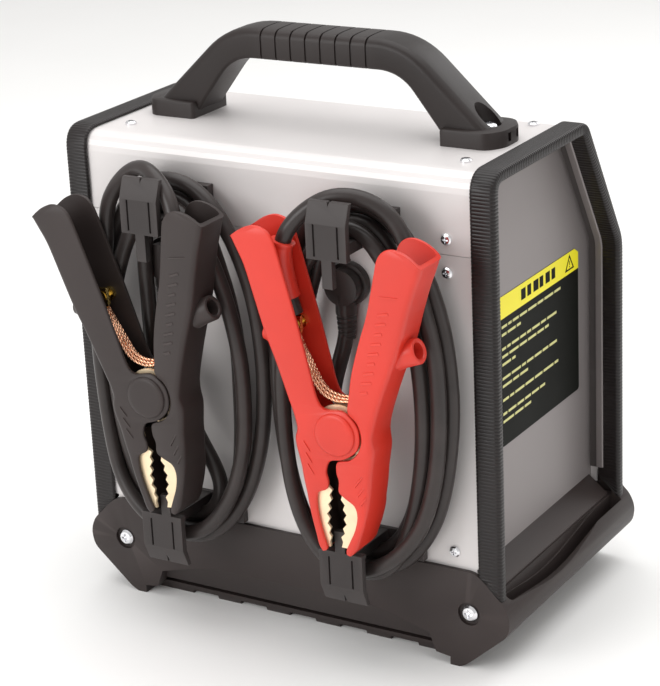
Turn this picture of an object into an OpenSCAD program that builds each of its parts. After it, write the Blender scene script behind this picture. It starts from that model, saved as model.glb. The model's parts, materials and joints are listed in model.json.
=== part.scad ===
// Jump starter pack: sheet-metal case on a moulded base, carry handle,
// two battery clamps on wound leads, and a control face on the far side.
// Origin: centre of the footprint, underside of the base. +Z up, millimetres.
// The clamps and wound leads hang on the -Y face; the controls are on +Y.

/* [Case] */
// Overall width across the two edge trims
body_w = 340; // [300:1:400]
// Height of the case top edge above the ground
body_h = 357; // [300:1:400]
// Width of the rubber edge trims seen from the front
trim_w = 18; // [12:1:24]
// Depth of the rubber edge trim channel
trim_d = 9; // [8:0.5:12]
// How far each side panel sits behind its trim
side_recess = 25; // [15:1:30]
// Radius-like cut of the top corner on the lead side
bend_cut = 17; // [8:1:24]
// Height of the seam between the top cover and the rear panel
seam_z = 298; // [280:1:310]

/* [Base] */
// Height of the fascia top edge
base_top_z = 74; // [60:1:80]
// Overall depth of the base moulding behind the front plane
base_d = 210; // [190:1:220]
// Width of each ground pad
pad_w = 20; // [12:1:30]
// Spacing of the ground pads
pad_pitch = 42.4; // [36:0.2:48]

/* [Handle] */
// Overall length of the carry handle
handle_l = 286; // [240:1:300]
// Height of the grip top above the ground
handle_top = 424; // [410:1:440]
// Width of the handle arms
handle_w = 34; // [28:1:40]
// Depth of the handle feet
foot_w = 45; // [40:1:50]

/* [Leads and clamps] */
// Distance of each cord hook from the middle
hook_x = 73; // [65:1:80]
// Outside diameter of the leads
lead_dia = 11; // [8:0.5:14]
// Tilt of the black clamp on its hook
black_tilt = 6; // [0:1:10]
// Width of the tab the clamp bites on
tab_w = 8; // [6:1:12]

/* [Controls] */
// Diameter of the main switch knob
knob_dia = 46; // [36:1:56]
// Outside diameter of the test button
button_dia = 15; // [12:1:20]

/* [Output] */
// Sub-part to show

/* [Hidden] */
eps = 0.05;
steps = 6;

// Side profile of the case, front plane at front_y
front_y = -80;
rear_y = 123;
slope_y = 64.3;
slope_z = 257;
slope_tilt = atan2(body_h - slope_z, rear_y - slope_y);
slope_len = norm([rear_y - slope_y, body_h - slope_z]);
sheet = 1.2;
sheet_d = 3.3;
half_w = body_w / 2;
panel_x = half_w - side_recess;
trim_x = half_w - trim_w;
slot_x = half_w - 4;

// Hooks
plate_w = 34;
plate_y = -130;
plate_t = 5;
hook_back_y = front_y + sheet_d;
arm_w = 18;
upper_plate_z = 303;
upper_flare_z = 327;
upper_top_z = 341;
upper_tab_z = 283;
lower_lip_z = 94;
lower_plate_z = 69;
lower_foot_z = 56;
lower_tab_z = 111;
black_tab_x = 4.4;

// Clamps
clamp_y = -124;
red_pivot_at = [80, clamp_y, 186];
black_pivot_at = [-71, clamp_y, 188];
wall_in = 12.4;
wall_out = 15;
pin_r = 4;
left_lug_x = -38;
right_lug_x = 37;

// Rounded outline: each corner i is cut back by cuts[i] and curved
function unit(v) = v / norm(v);
function corner(a, b, c, cut, n) = cut == 0 ? [b] :
  let (p = b + unit(a - b) * cut, q = b + unit(c - b) * cut)
  [for (k = [0 : n]) let (f = k / n)
    (1 - f) * (1 - f) * p + 2 * f * (1 - f) * b + f * f * q];
function rounded(pts, cuts, n = steps) = [for (i = [0 : len(pts) - 1])
  each corner(pts[(i + len(pts) - 1) % len(pts)], pts[i],
    pts[(i + 1) % len(pts)], cuts[i], n)];
function backwards(list) = [for (i = [len(list) - 1 : -1 : 0]) list[i]];
function both_sides(list) = concat(list, backwards([for (p = list) [-p[0], p[1]]]));

// Case profile in Y-Z, moved inwards by d
function rim(d, bottom) = rounded([
  [front_y + d, bottom],
  [front_y + d, body_h - d],
  [slope_y - d * tan(slope_tilt / 2), body_h - d],
  [rear_y - d, slope_z - d * tan((90 - slope_tilt) / 2)],
  [rear_y - d, bottom]],
  [0, bend_cut - d, 9 - d / 2, 9 - d / 2, 0]);

module along_x(x0, x1) {
  translate([x0, 0, 0])
    rotate([90, 0, 90])
      linear_extrude(height = x1 - x0)
        children();
}

module along_y(y0, y1) {
  translate([0, y1, 0])
    rotate([90, 0, 0])
      linear_extrude(height = y1 - y0)
        children();
}

// Round bar or hole along Y
module rod_y(r, y0, y1) {
  translate([0, y1, 0])
    rotate([90, 0, 0])
      cylinder(h = y1 - y0, r = r, $fn = 48);
}

module ring_band(x0, x1, d0, d1, bottom = 50) {
  along_x(x0, x1)
    polygon(concat(rim(d0, bottom), backwards(rim(d1, bottom))));
}

// Tube swept along hand-chosen points
function tangent(p, i) = unit(p[min(i + 1, len(p) - 1)] - p[max(i - 1, 0)]);
function side_axis(t, ref) = unit(cross(t, ref));
function spline(p, i, f) =
  let (a = p[max(i - 1, 0)], b = p[i], c = p[i + 1], d = p[min(i + 2, len(p) - 1)])
  0.5 * (2 * b + (c - a) * f + (2 * a - 5 * b + 4 * c - d) * f * f
    + (3 * b - a - 3 * c + d) * f * f * f);
function smooth(p, n) = concat([for (i = [0 : len(p) - 2]) each
  [for (k = [0 : n - 1]) spline(p, i, k / n)]], [p[len(p) - 1]]);

module tube(points, r, ref = [0, 1, 0], sides = 10) {
  count = len(points);
  rings = [for (i = [0 : count - 1])
    let (t = tangent(points, i), u = side_axis(t, ref), v = cross(t, u))
    for (k = [0 : sides - 1])
      points[i] + r * (cos(360 * k / sides) * u + sin(360 * k / sides) * v)];
  walls = [for (i = [0 : count - 2]) for (k = [0 : sides - 1])
    let (a = i * sides + k, b = i * sides + (k + 1) % sides)
    [a, b, b + sides, a + sides]];
  first = [for (k = [sides - 1 : -1 : 0]) k];
  last = [for (k = [0 : sides - 1]) (count - 1) * sides + k];
  polyhedron(points = rings, faces = concat([first], walls, [last]), convexity = 4);
}

// ---------- Base ----------
base_half = [[150, base_top_z], [158, 67], [172, 53],
  [176, 43], [174, 31], [141, 2], [136, 0]];
base_cuts = [6, 0, 4, 5, 5, 4, 0];
base_back = front_y + base_d;
channel_z = 34;

module base_outline() {
  polygon(rounded(both_sides(base_half), concat(base_cuts, backwards(base_cuts)), 5));
}

// Slanting cut that turns the lower fascia inwards
module base_undercut(depth) {
  intersection() {
    along_x(-130, 130)
      polygon([[front_y - 1, 33], [front_y + 0.5, 33], [front_y + depth, 0],
        [front_y + depth, -1], [front_y - 1, -1]]);
    // Lower edge of the fascia drops towards the corner feet
    along_y(front_y - 2, front_y + depth + 1)
      polygon(both_sides([[62, 33], [84, 29], [113, 21], [118, 7.5], [129, 6], [129, -2]]));
  }
}

module base_undercut_pair(depth) {
  base_undercut(depth);
  translate([0, 2 * front_y + base_d, 0])
    mirror([0, 1, 0])
      base_undercut(depth);
}

// Slots between the pads, carried up the slanted bands
module pad_gaps() {
  gap = pad_pitch - pad_w;
  for (i = [-2 : 2])
    translate([i * pad_pitch - gap / 2, front_y - 1, -1])
      cube([gap, base_d + 2, 4]);
}

module base_side_cuts() {
  for (s = [-1, 1])
    mirror([s > 0 ? 0 : 1, 0, 0]) {
      // Dark channel between the side panel and the outer skirt
      translate([162, front_y + 14, channel_z])
        cube([9, base_d - 28, 60]);
      // Rebate for the side tray
      translate([143.6, front_y + 4, 56])
        cube([19, base_d - 12, 30]);
      // Sagging top edge of the skirt
      along_x(161, 180)
        polygon(rounded([[front_y + 9, 90], [front_y + 10, 53], [front_y + 84, 43],
          [front_y + 156, 54], [base_back - 9, 62], [base_back - 8, 90]],
          [0, 4, 30, 20, 3, 0], 4));
    }
}

module base_tray() {
  color([0.20, 0.18, 0.18])
    difference() {
      along_y(front_y, base_back)
        base_outline();
      // Open inside, with a floor for the battery
      translate([-148, front_y + 10, 8])
        cube([296, base_d - 20, 80]);
      // Rebates for the case sheets
      translate([-151, front_y + sheet_d - 0.1, 62])
        cube([302, base_d - 2 * sheet_d - 2.6, 30]);
      base_undercut_pair(15);
      pad_gaps();
      base_side_cuts();
      // Counterbores and clearance holes of the corner screws
      for (s = [-1, 1])
        for (y = [front_y, base_back])
          translate([s * 144.5, y, 42])
            rotate([90, 0, 0])
              cylinder(h = 5, r = 8.5, center = true, $fn = 48);
      for (s = [-1, 1])
        for (y = [front_y + 8, base_back - 8])
          translate([s * 144.5, y, 42])
            rotate([90, 0, 0])
              cylinder(h = 18, r = 3.05, center = true, $fn = 32);
    }
}

module base_screws() {
  color([0.80, 0.82, 0.85])
    for (s = [-1, 1])
      for (side = [-1, 1])
        translate([s * 144.5, side < 0 ? front_y + 2.5 : base_back - 2.5, 42])
          rotate([-side * 90, 0, 0])
            screw(6, 12, 3.4, 9);
}

// Pan head screw, head rises along +Z from the seat
module screw(shank, head, head_h, len) {
  difference() {
    union() {
      rotate_extrude($fn = 40)
        polygon([[0, 0], [head / 2, 0], [head / 2, head_h * 0.45],
          [head * 0.38, head_h * 0.85], [head * 0.2, head_h], [0, head_h]]);
      translate([0, 0, -len])
        cylinder(h = len + eps, r = shank / 2, $fn = 32);
    }
    for (a = [0, 90])
      rotate([0, 0, a])
        translate([-head * 0.26, -head * 0.06, head_h * 0.45])
          cube([head * 0.52, head * 0.12, head_h]);
  }
}

// ---------- Case sheets ----------
function cover_line(d) = concat(
  [[front_y + d, seam_z + 0.4]],
  corner([front_y + d, seam_z], [front_y + d, body_h - d], [slope_y, body_h - d],
    bend_cut - d, steps),
  corner([front_y, body_h - d], [slope_y - d * tan(slope_tilt / 2), body_h - d],
    [rear_y - d, slope_z - d * tan((90 - slope_tilt) / 2)], 8 - d / 2, steps),
  [slope_point(14, d)]);
function slope_point(s, d) = [slope_y, body_h]
  + s * [cos(slope_tilt), -sin(slope_tilt)] - d * [sin(slope_tilt), cos(slope_tilt)];
function control_line(d) = concat(
  [slope_point(14.6, d)],
  corner(slope_point(14.6, d), [rear_y - d, slope_z - d * tan((90 - slope_tilt) / 2)],
    [rear_y - d, 64], 8 - d / 2, steps),
  [[rear_y - d, 64]]);

module top_cover() {
  color([0.76, 0.75, 0.75])
    difference() {
      union() {
        along_x(-slot_x + 1, slot_x - 1)
          polygon(concat(cover_line(sheet_d), backwards(cover_line(sheet_d + sheet))));
          // Lap behind the seam
        translate([-140, front_y + sheet_d + sheet, seam_z - 18])
          cube([280, sheet, 43]);
      }
      cover_holes();
    }
}

module rear_panel() {
  color([0.73, 0.72, 0.72])
    difference() {
      translate([-slot_x + 1, front_y + sheet_d, 64])
        cube([2 * slot_x - 2, sheet, seam_z - 64]);
      cover_holes();
      // Corners cleared by the base
      for (s = [-1, 1])
        translate([s * 165 - 15, front_y, 50])
          cube([30, 10, 25.6]);
      for (x = [gland_red_x, gland_black_x])
        translate([x, 0, gland_z])
          rod_y(9, front_y - 5, front_y + 10);
      for (x = [-hook_x, hook_x])
        translate([x, 0, 82])
          for (dx = [-30, 30])
            translate([dx, 0, 0])
              rod_y(2.1, front_y - 5, front_y + 10);
    }
}

module control_panel() {
  color([0.73, 0.72, 0.72])
    difference() {
      along_x(-slot_x + 1, slot_x - 1)
        polygon(concat(control_line(sheet_d), backwards(control_line(sheet_d + sheet))));
      for (s = [-1, 1])
        translate([s * 165 - 15, rear_y - 8, 50])
          cube([30, 10, 25.6]);
      on_slope(switch_u, switch_v)
        translate([0, 0, -10])
          cylinder(h = 10, r = 8, $fn = 40);
      on_slope(test_u, test_v)
        translate([0, 0, -10])
          cylinder(h = 10, r = 6, $fn = 40);
      for (i = [0 : 3])
        on_slope(light_u + i * 12, light_v)
          translate([0, 0, -10])
            cylinder(h = 10, r = 2.8, $fn = 24);
      translate([socket_x, 0, socket_z])
        rod_y(14.3, rear_y - 10, rear_y);
    }
}

// Screw places on the lead face, top and their matching holes
front_screws = [[-133.5, 309], [133.5, 309], [-133.5, 286], [133.5, 286],
  [-133.5, 86], [133.5, 86]];
top_screws = [[-134, -48], [134, -48], [-134, 52], [134, 52]];

module cover_holes() {
  for (p = front_screws)
    translate([p[0], 0, p[1]])
      rod_y(2.05, front_y - 5, front_y + 12);
  for (p = top_screws)
    translate([p[0], p[1], body_h - 15])
      cylinder(h = 20, r = 2.05, $fn = 24);
  for (p = [[-125, 2], [125, 2]])
    translate([p[0], p[1], body_h - 15])
      cylinder(h = 20, r = 3.1, $fn = 24);
}

module cover_screws() {
  color([0.78, 0.80, 0.82]) {
    for (p = front_screws)
      translate([p[0], front_y + sheet_d, p[1]])
        rotate([90, 0, 0])
          screw(4, 8, 2.6, 6);
    for (p = top_screws)
      translate([p[0], p[1], body_h - sheet_d])
        screw(4, 8, 2.6, 6);
  }
}

// Recessed side tray with a wall that runs out under the trim
module side_tray() {
  color([0.52, 0.47, 0.47])
    difference() {
      union() {
        along_x(panel_x - sheet, panel_x)
          polygon(rim(4.6, 62.5));
        ring_band(panel_x - sheet / 2, slot_x - 1, 4.6, 5.8, 76);
        // Sloping bottom wall
        along_y(front_y + 14, rear_y - 8)
          polygon([[panel_x, 70], [160, 57.5], [160, 56.3], [panel_x, 68.8]]);
      }
      // Room for the screws through the top and front sheets
      for (p = front_screws)
        translate([abs(p[0]), 0, p[1]])
          rod_y(5, front_y - 5, front_y + 14);
    }
}

module side_panel_right() {
  side_tray();
}

module side_panel_left() {
  mirror([1, 0, 0])
    side_tray();
}

module edge_trim() {
  color([0.17, 0.16, 0.16])
    difference() {
      union() {
        ring_band(trim_x, half_w, 0, 3.1);
        ring_band(trim_x, half_w, 6, trim_d);
        ring_band(slot_x, half_w, 0, trim_d);
      }
      // Foot of each leg follows the base corner
      along_y(front_y - 5, base_back)
        polygon([[148, 40], [180, 40], [180, 46], [172.3, 53.3], [158.2, 67.4],
          [150, 74.5], [148, 74.5]]);
    }
}

module edge_trim_right() {
  edge_trim();
}

module edge_trim_left() {
  mirror([1, 0, 0])
    edge_trim();
}

module caution_plate() {
  color([0.95, 0.90, 0.10])
    along_x(panel_x, panel_x + 0.5)
      polygon(rounded([[-26, 145], [98, 145], [98, 250], [92, 254], [-26, 254]],
        [3, 3, 0, 0, 3], 3));
}

// ---------- Handle ----------
foot_top = body_h - sheet_d + 12;

module handle_foot() {
  half_l = handle_l / 2;
  translate([0, 2, body_h - sheet_d])
    linear_extrude(height = 12)
      polygon(rounded([[101, -foot_w / 2], [half_l - 8, -foot_w / 2],
        [half_l, -10], [half_l, 10], [half_l - 8, foot_w / 2], [101, foot_w / 2]],
        [2, 6, 5, 5, 6, 2], 4));
}

module carry_handle() {
  outer = [[-131, foot_top + 1], [-72, handle_top], [72, handle_top], [131, foot_top + 1]];
  inner = [[101, foot_top - 1], [67, 400], [-67, 400], [-101, foot_top - 1]];
  color([0.19, 0.17, 0.17])
    difference() {
      union() {
        along_y(2 - handle_w / 2, 2 + handle_w / 2)
          polygon(rounded(concat(outer, inner), [0, 22, 22, 0, 0, 14, 14, 0], 7));
        handle_foot();
        mirror([1, 0, 0])
          handle_foot();
      }
      // Soft grip edges
      for (s = [-1, 1])
        translate([0, 2 + s * handle_w / 2, handle_top])
          rotate([45, 0, 0])
            cube([170, 5, 5], center = true);
      // Grip grooves
      for (i = [-4 : 4])
        translate([i * 12, 2, handle_top - 0.5])
          groove_frame();
      // Bolt pockets
      for (s = [-1, 1])
        translate([s * 125, 2, 0]) {
          translate([0, 0, foot_top - 5])
            cylinder(h = 40, r = 9, $fn = 40);
          translate([0, 0, body_h - 10])
            cylinder(h = 40, r = 3.05, $fn = 24);
        }
      // Mould notches in the foot ends
      for (s = [-1, 1])
        for (y = [-4, 8])
          translate([s * 143, y, body_h - sheet_d + 6])
            cube([5, 4, 6], center = true);
    }
}

// Thin frame that cuts a groove on the top and both sides of the grip
module groove_frame() {
  difference() {
    translate([-0.6, -handle_w / 2 - 2, -22])
      cube([1.2, handle_w + 4, 24]);
    translate([-2, -handle_w / 2 + 1, -40])
      cube([4, handle_w - 2, 39.6]);
  }
}

module handle_bolts() {
  color([0.86, 0.87, 0.88])
    for (s = [-1, 1])
      translate([s * 125, 2, foot_top - 5])
        screw(6, 13, 4.5, 20);
}

// ---------- Cord hooks ----------
// Front plate, arm and back bar; dir = 1 for the upper hook, -1 for the lower
module hook_plate(z_in, z_bend, z_tip, z_tab, tab_x = 0) {
  low = min(z_in, z_bend);
  high = max(z_in, z_bend);
  difference() {
    union() {
      translate([-plate_w / 2, plate_y, low])
        cube([plate_w, plate_t, high - low]);
      along_x(-plate_w / 2, plate_w / 2)
        polygon([[plate_y, z_bend], [plate_y + 6, z_tip],
          [plate_y + 9.5, z_tip], [plate_y + plate_t, z_bend]]);
      translate([tab_x - tab_w / 2, plate_y, min(z_tab, z_in)])
        cube([tab_w, plate_t, abs(z_tab - z_in) + eps]);
    }
    for (s = [-1, 1])
      translate([s * 10 - 0.6, plate_y - 1, low + 2])
        cube([1.2, 2.2, high - low - 2]);
    // Nick in the middle of the bent edge
    along_y(plate_y - 2, plate_y + 14)
      polygon([[-1.4, z_tip + sign(z_tip - z_bend)], [1.4, z_tip + sign(z_tip - z_bend)],
        [0, z_tip - sign(z_tip - z_bend) * 6]]);
  }
}

module hook_arm(z0, z1) {
  translate([-arm_w / 2, plate_y + plate_t - 1, z0])
    cube([arm_w, hook_back_y - plate_y - plate_t + 1, z1 - z0]);
}

module back_bar(half_l, z0, z1, t) {
  along_y(hook_back_y - t, hook_back_y)
    polygon(rounded([[-half_l, z0], [half_l, z0], [half_l, z1], [-half_l, z1]],
      [3, 3, 3, 3], 4));
}

module upper_hook() {
  color([0.20, 0.18, 0.18])
    union() {
      hook_plate(upper_plate_z, upper_flare_z, upper_top_z, upper_tab_z);
      hook_arm(upper_plate_z, upper_plate_z + 8);
      back_bar(26, 302, 327, 3);
      back_bar(26, 317, 327, 7);
    }
}

module lower_hook(tab_x = 0) {
  color([0.20, 0.18, 0.18])
    union() {
      hook_plate(lower_lip_z, lower_plate_z, lower_foot_z, lower_tab_z, tab_x);
      hook_arm(lower_lip_z - 8, lower_lip_z);
      back_bar(38, 76, 95, 3);
      back_bar(38, 76, 88, 6);
    }
}

module hook_upper_red() {
  translate([hook_x + 1, 0, 0])
    upper_hook();
}

module hook_upper_black() {
  translate([-hook_x, 0, 0])
    upper_hook();
}

module hook_lower_red() {
  translate([hook_x + 1, 0, 0])
    lower_hook();
}

module hook_lower_black() {
  translate([-hook_x, 0, 0])
    lower_hook(black_tab_x);
}

// ---------- Lead glands ----------
gland_z = 270;
gland_red_x = 60;
gland_black_x = -87;

module gland() {
  face = front_y + sheet_d;
  color([0.12, 0.11, 0.11])
    union() {
      translate([0, 0, gland_z]) {
        rod_y(8.8, face - 1, face + 10);
        rod_y(15, face - 6, face);
        rod_y(12.5, face - 15, face - 5);
      }
      translate([0, face - 8, gland_z - 19])
        cylinder(h = 14, r = 7.2, $fn = 40);
    }
}

module gland_red() {
  translate([gland_red_x, 0, 0])
    gland();
}

module gland_black() {
  translate([gland_black_x, 0, 0])
    gland();
}

// ---------- Leads ----------
coil_t = 22.8;
coil_back = -85;
start_y = front_y + sheet_d - 8;

// Outline of a wound lead, relative to its hook
coil_outer = [[-38, 313], [-62, 272], [-73, 205], [-66, 128], [-44, 81], [-14, 63],
  [14, 63], [44, 81], [66, 128], [73, 205], [62, 272], [38, 313], [16, 332], [-16, 332]];
coil_inner = [[-17, 300], [-34, 258], [-42, 205], [-38, 140], [-24, 106], [-13, 97.5],
  [13, 97.5], [24, 106], [38, 140], [42, 205], [34, 258], [17, 300], [12, 302], [-12, 302]];
coil_soft = [for (p = coil_outer) 9];
coil_soft_in = [for (p = coil_inner) 2];

module lead_coil(x) {
  color([0.10, 0.10, 0.10])
    translate([x, 0, 0])
      difference() {
        along_y(coil_back - coil_t, coil_back)
          polygon(rounded(coil_outer, coil_soft, 3));
        along_y(coil_back - 30, coil_back + 10)
          polygon(rounded(coil_inner, coil_soft_in, 2));
        coil_arm_slots();
      }
}

// The hook arms pass through the winding
module coil_arm_slots() {
  translate([-arm_w / 2 - 0.5, -120, 290])
    cube([arm_w + 1, 50, 21.5]);
  translate([-arm_w / 2 - 0.5, -120, 85.5])
    cube([arm_w + 1, 50, 20]);
}

red_start = [[60, start_y, 251], [60, start_y, 236], [56.5, -88, 220], [52, -90.7, 202],
  [48.5, -90.7, 180], [47, -90.7, 155], [46.5, -90.7, 130], [47, -90.7, 112], [47, -90.7, 103]];
red_end = [[127, -101, 272], [122, -101, 290], [119.5, -101, 302], [116.5, -101, 313],
  [109.5, -102.5, 325], [95, -107, 335.5], [78, -112, 339.5], [64, -113.5, 337.5],
  [51, -118, 329.5], [41, -122, 318], [37, -124, 304], [37, -122.5, 288],
  [39, -121, 272], [42, -120, 259]];
black_start = [[-87, start_y, 251], [-87, start_y, 236], [-87, -89.5, 215], [-86, -90.7, 195],
  [-79, -90.7, 170], [-65, -90.7, 145], [-53, -90.7, 125], [-47, -90.7, 112],
  [-46, -90.7, 103]];
black_end = [[-126, -101, 272], [-123, -101, 290], [-122, -101, 302], [-119.5, -101, 313],
  [-112, -102, 325], [-102, -103.5, 333.5], [-92, -106, 339.5], [-79, -110.5, 341],
  [-67, -114.5, 338], [-57, -117.5, 331], [-50.5, -122.5, 321], [-46.5, -124.5, 309],
  [-43.5, -124, 296], [-41.5, -124, 283], [-42.5, -121, 264]];

module lead(points) {
  color([0.10, 0.10, 0.10])
    tube(smooth(points, 2), lead_dia / 2);
}

module lead_start_red() {
  lead(red_start);
}

module lead_start_black() {
  lead(black_start);
}

module lead_coil_red() {
  lead_coil(hook_x + 1);
}

module lead_coil_black() {
  lead_coil(-hook_x);
}

module lead_end_red() {
  lead(red_end);
}

module lead_end_black() {
  lead(black_end);
}

// ---------- Clamp, drawn about its pivot with +Y the pivot axis ----------
left_edge = [[-75, 127], [-65, 107], [-55, 72], [-51, 60], [-46, 50], [-32, 6],
  [-31, -2], [-33, -10], [-29, -27], [-26, -46], [-21, -69], [-18, -83], [-14, -87]];
left_face = concat(left_edge, [[-11, -84], [-15, -75], [-19, -63], [-20, -51],
  [-18, -44], [-10, -41], [-7, -35], [-9, -30], [-7, -17], [0, -12], [0, 14], [-13, 17],
  [-28, 83], [-42, 130], [-47, 134], [-57, 136.5], [-66, 133]]);
right_edge = [[68, 122], [61, 104], [55, 85], [49, 65], [40, 42], [34, 26], [29, 12],
  [26, -4], [28, -9], [25, -27], [22, -48], [17, -68], [12, -82], [7, -87]];
right_face = concat(right_edge, [[3, -85], [6, -76], [10.5, -67], [12.5, -58], [11.5, -50],
  [4, -44.5], [0, -43], [1, -33], [-1, -27], [0, -16], [9, 13], [16, 52], [28, 87],
  [36, 122], [41, 130], [48, 132.5], [57, 130]]);
left_teeth = [[-10, -42], [-12.6, -46], [-11, -49], [-14, -53], [-12.4, -56], [-15, -60],
  [-13, -63], [-15, -67], [-12.6, -70], [-13.6, -74], [-11.8, -76], [-12, -79], [-11, -83]];
right_teeth = [[-1.6, -83], [-0.6, -79], [-1.8, -76], [1, -73], [-0.4, -70], [2.8, -66],
  [1, -63], [3, -59], [0.6, -56], [2, -52], [-0.6, -49], [0, -46], [-2, -43]];

function shifted(list, dx) = [for (p = list) [p[0] + dx, p[1]]];

module shell(face, edge, dx) {
  along_y(-wall_out, -wall_in)
    polygon(face);
  along_y(wall_in, wall_out)
    polygon(face);
  along_y(-wall_in - eps, wall_in + eps)
    polygon(concat(edge, backwards(shifted(edge, dx))));
}

module left_grip() {
  difference() {
    union() {
      shell(left_face, left_edge, 3);
      for (y = [[-wall_out, -wall_in], [wall_in, wall_out]])
        rod_y(18, y[0], y[1]);
      // Boss on the outside of the grip
      translate([-49, 0, 60])
        rotate([0, -70, 0])
          cylinder(h = 8, r = 9, $fn = 32);
    }
    rod_y(pin_r + 0.05, -20, 20);
    translate([-49, 0, 60])
      rotate([0, -70, 0])
        translate([0, 0, -8])
          cylinder(h = 20, r = 5.5, $fn = 32);
    // Screw through the far wall holds the lead's lug
    translate([left_lug_x, 0, 66])
      rod_y(2.6, wall_in - 1, wall_out + 1);
  }
}

module right_grip() {
  difference() {
    union() {
      shell(right_face, right_edge, -3);
      translate([45, 0, 58])
        rotate([0, 70, 0])
          cylinder(h = 13, r = 9, $fn = 32);
    }
    rod_y(19.4, -20, 20);
    translate([45, 0, 58])
      rotate([0, 70, 0])
        translate([0, 0, -8])
          cylinder(h = 30, r = 5.5, $fn = 32);
    translate([right_lug_x, 0, 66])
      rod_y(2.6, wall_in - 1, wall_out + 1);
  }
}

module left_jaw() {
  plate = concat([[-16, -30], [-18, -44], [-20, -51], [-19, -63], [-15, -75], [-12.5, -84]],
    backwards(left_teeth), [[-5, -30], [-4, -20], [-2, 0], [-12, 0]]);
  color([0.93, 0.80, 0.60])
    difference() {
      union() {
        for (y = [[-12, -10], [10, 12]])
          along_y(y[0], y[1])
            polygon(plate);
        for (y = [[-12, -10], [10, 12]])
          rod_y(13, y[0], y[1]);
        translate([-18, -11, -62])
          cube([2.4, 22, 14]);
      }
      rod_y(pin_r + 0.05, -20, 20);
    }
}

module right_jaw() {
  plate = concat([[2, -84], [8, -76], [13, -67], [15, -57], [14.5, -48], [12, -40],
    [12, -28], [12, -2], [-3, -2], [1, -20], [-0.5, -36]], backwards(right_teeth));
  color([0.93, 0.80, 0.60])
    difference() {
      union() {
        for (y = [[-9.6, -7.6], [7.6, 9.6]])
          along_y(y[0], y[1])
            polygon(plate);
        for (y = [[-9.6, -7.6], [7.6, 9.6]])
          rod_y(18.8, y[0], y[1]);
        translate([5.6, -8.6, -62])
          cube([2.4, 17.2, 12]);
      }
      rod_y(pin_r + 0.05, -20, 20);
    }
}

module pivot_pin() {
  rod_y(pin_r, -17, 17);
  rod_y(15, -17.8, -wall_out - eps);
  rod_y(15, wall_out + eps, 17.8);
}

module spring() {
  color([0.70, 0.71, 0.73])
    union() {
      rotate([90, 0, 0])
        rotate_extrude($fn = 40)
          union() {
            for (i = [-2 : 2])
              translate([8.4, i * 2.4])
                circle(r = 1.3, $fn = 16);
          }
      translate([-7, 6, 5])
        rotate([0, -35, 0])
          cylinder(h = 22, r = 1, $fn = 16);
      translate([6, -6, 5])
        rotate([0, 22, 0])
          cylinder(h = 16, r = 1, $fn = 16);
    }
}

braid_points = [[-37, 5, 58], [-31, 4, 47], [-25, 2, 37], [-18, 0, 29], [-9, -1, 24.5],
  [0, -1, 23], [8, 0, 23.5], [15, 1, 26]];

module braid() {
  color([0.85, 0.55, 0.35])
    tube(smooth(braid_points, 2), 3.6, [0, 1, 0], 8);
}

// Lug, nut and screw through the far wall of a handle
module lug_screw(x) {
  translate([x, 0, 66]) {
    rod_y(2.5, 3, wall_out + eps);
    rod_y(4.6, wall_out + eps, wall_out + 0.8);
    rod_y(5, 9.2, wall_in - eps);
    rod_y(4.2, 1, 3);
    translate([-5, 1.5, -5.5])
      cube([10, 3, 12]);
  }
}

module lug_bolt() {
  color([0.88, 0.74, 0.35])
    lug_screw(left_lug_x);
}

module lead_lug() {
  color([0.85, 0.55, 0.35])
    lug_screw(right_lug_x);
}

module place_red() {
  translate(red_pivot_at)
    children();
}

module place_black() {
  translate(black_pivot_at)
    rotate([0, -black_tilt, 0])
      children();
}

module red_fixed_grip() {
  color([0.90, 0.27, 0.20])
    place_red()
      left_grip();
}

module red_moving_grip() {
  color([0.90, 0.27, 0.20])
    place_red()
      right_grip();
}

module red_fixed_jaw() {
  place_red()
    left_jaw();
}

module red_moving_jaw() {
  place_red()
    right_jaw();
}

module red_pivot() {
  color([0.90, 0.27, 0.20])
    place_red()
      pivot_pin();
}

module red_spring() {
  place_red()
    spring();
}

module red_braid() {
  place_red()
    braid();
}

module red_lug_bolt() {
  place_red()
    lug_bolt();
}

module black_fixed_grip() {
  color([0.22, 0.20, 0.20])
    place_black()
      right_grip();
}

module black_moving_grip() {
  color([0.22, 0.20, 0.20])
    place_black()
      left_grip();
}

module black_fixed_jaw() {
  place_black()
    right_jaw();
}

module black_moving_jaw() {
  place_black()
    left_jaw();
}

module black_pivot() {
  color([0.22, 0.20, 0.20])
    place_black()
      pivot_pin();
}

module black_spring() {
  place_black()
    spring();
}

module black_braid() {
  place_black()
    braid();
}

module black_lug_bolt() {
  place_black()
    lug_bolt();
}

module black_lead_lug() {
  place_black()
    lead_lug();
}

// ---------- Control face ----------
switch_u = -80;
switch_v = -2;
test_u = 14;
test_v = -16;
light_u = -4;
light_v = 14;
socket_x = -70;
socket_z = 196;
fascia_w = 236;
fascia_h = 78;

// Local frame on the sloping face: u to a facing viewer's right, v up, z out
module on_slope(u, v) {
  translate([0, (slope_y + rear_y) / 2, (body_h + slope_z) / 2])
    rotate([-slope_tilt, 0, 0])
      rotate([0, 0, 180])
        translate([u, v, 0])
          children();
}

module control_fascia() {
  color([0.08, 0.08, 0.09])
    difference() {
      on_slope(0, 0)
        translate([0, 0, -sheet_d])
          linear_extrude(height = 1)
            polygon(rounded([[-fascia_w / 2, -fascia_h / 2], [fascia_w / 2, -fascia_h / 2],
              [fascia_w / 2, fascia_h / 2], [-fascia_w / 2, fascia_h / 2]],
              [6, 6, 6, 6], 5));
      on_slope(switch_u, switch_v)
        translate([0, 0, -10])
          cylinder(h = 20, r = 8, $fn = 40);
      on_slope(test_u, test_v)
        translate([0, 0, -10])
          cylinder(h = 20, r = 6, $fn = 40);
      for (i = [0 : 3])
        on_slope(light_u + i * 12, light_v)
          translate([0, 0, -10])
            cylinder(h = 20, r = 2.8, $fn = 24);
    }
}

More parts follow.
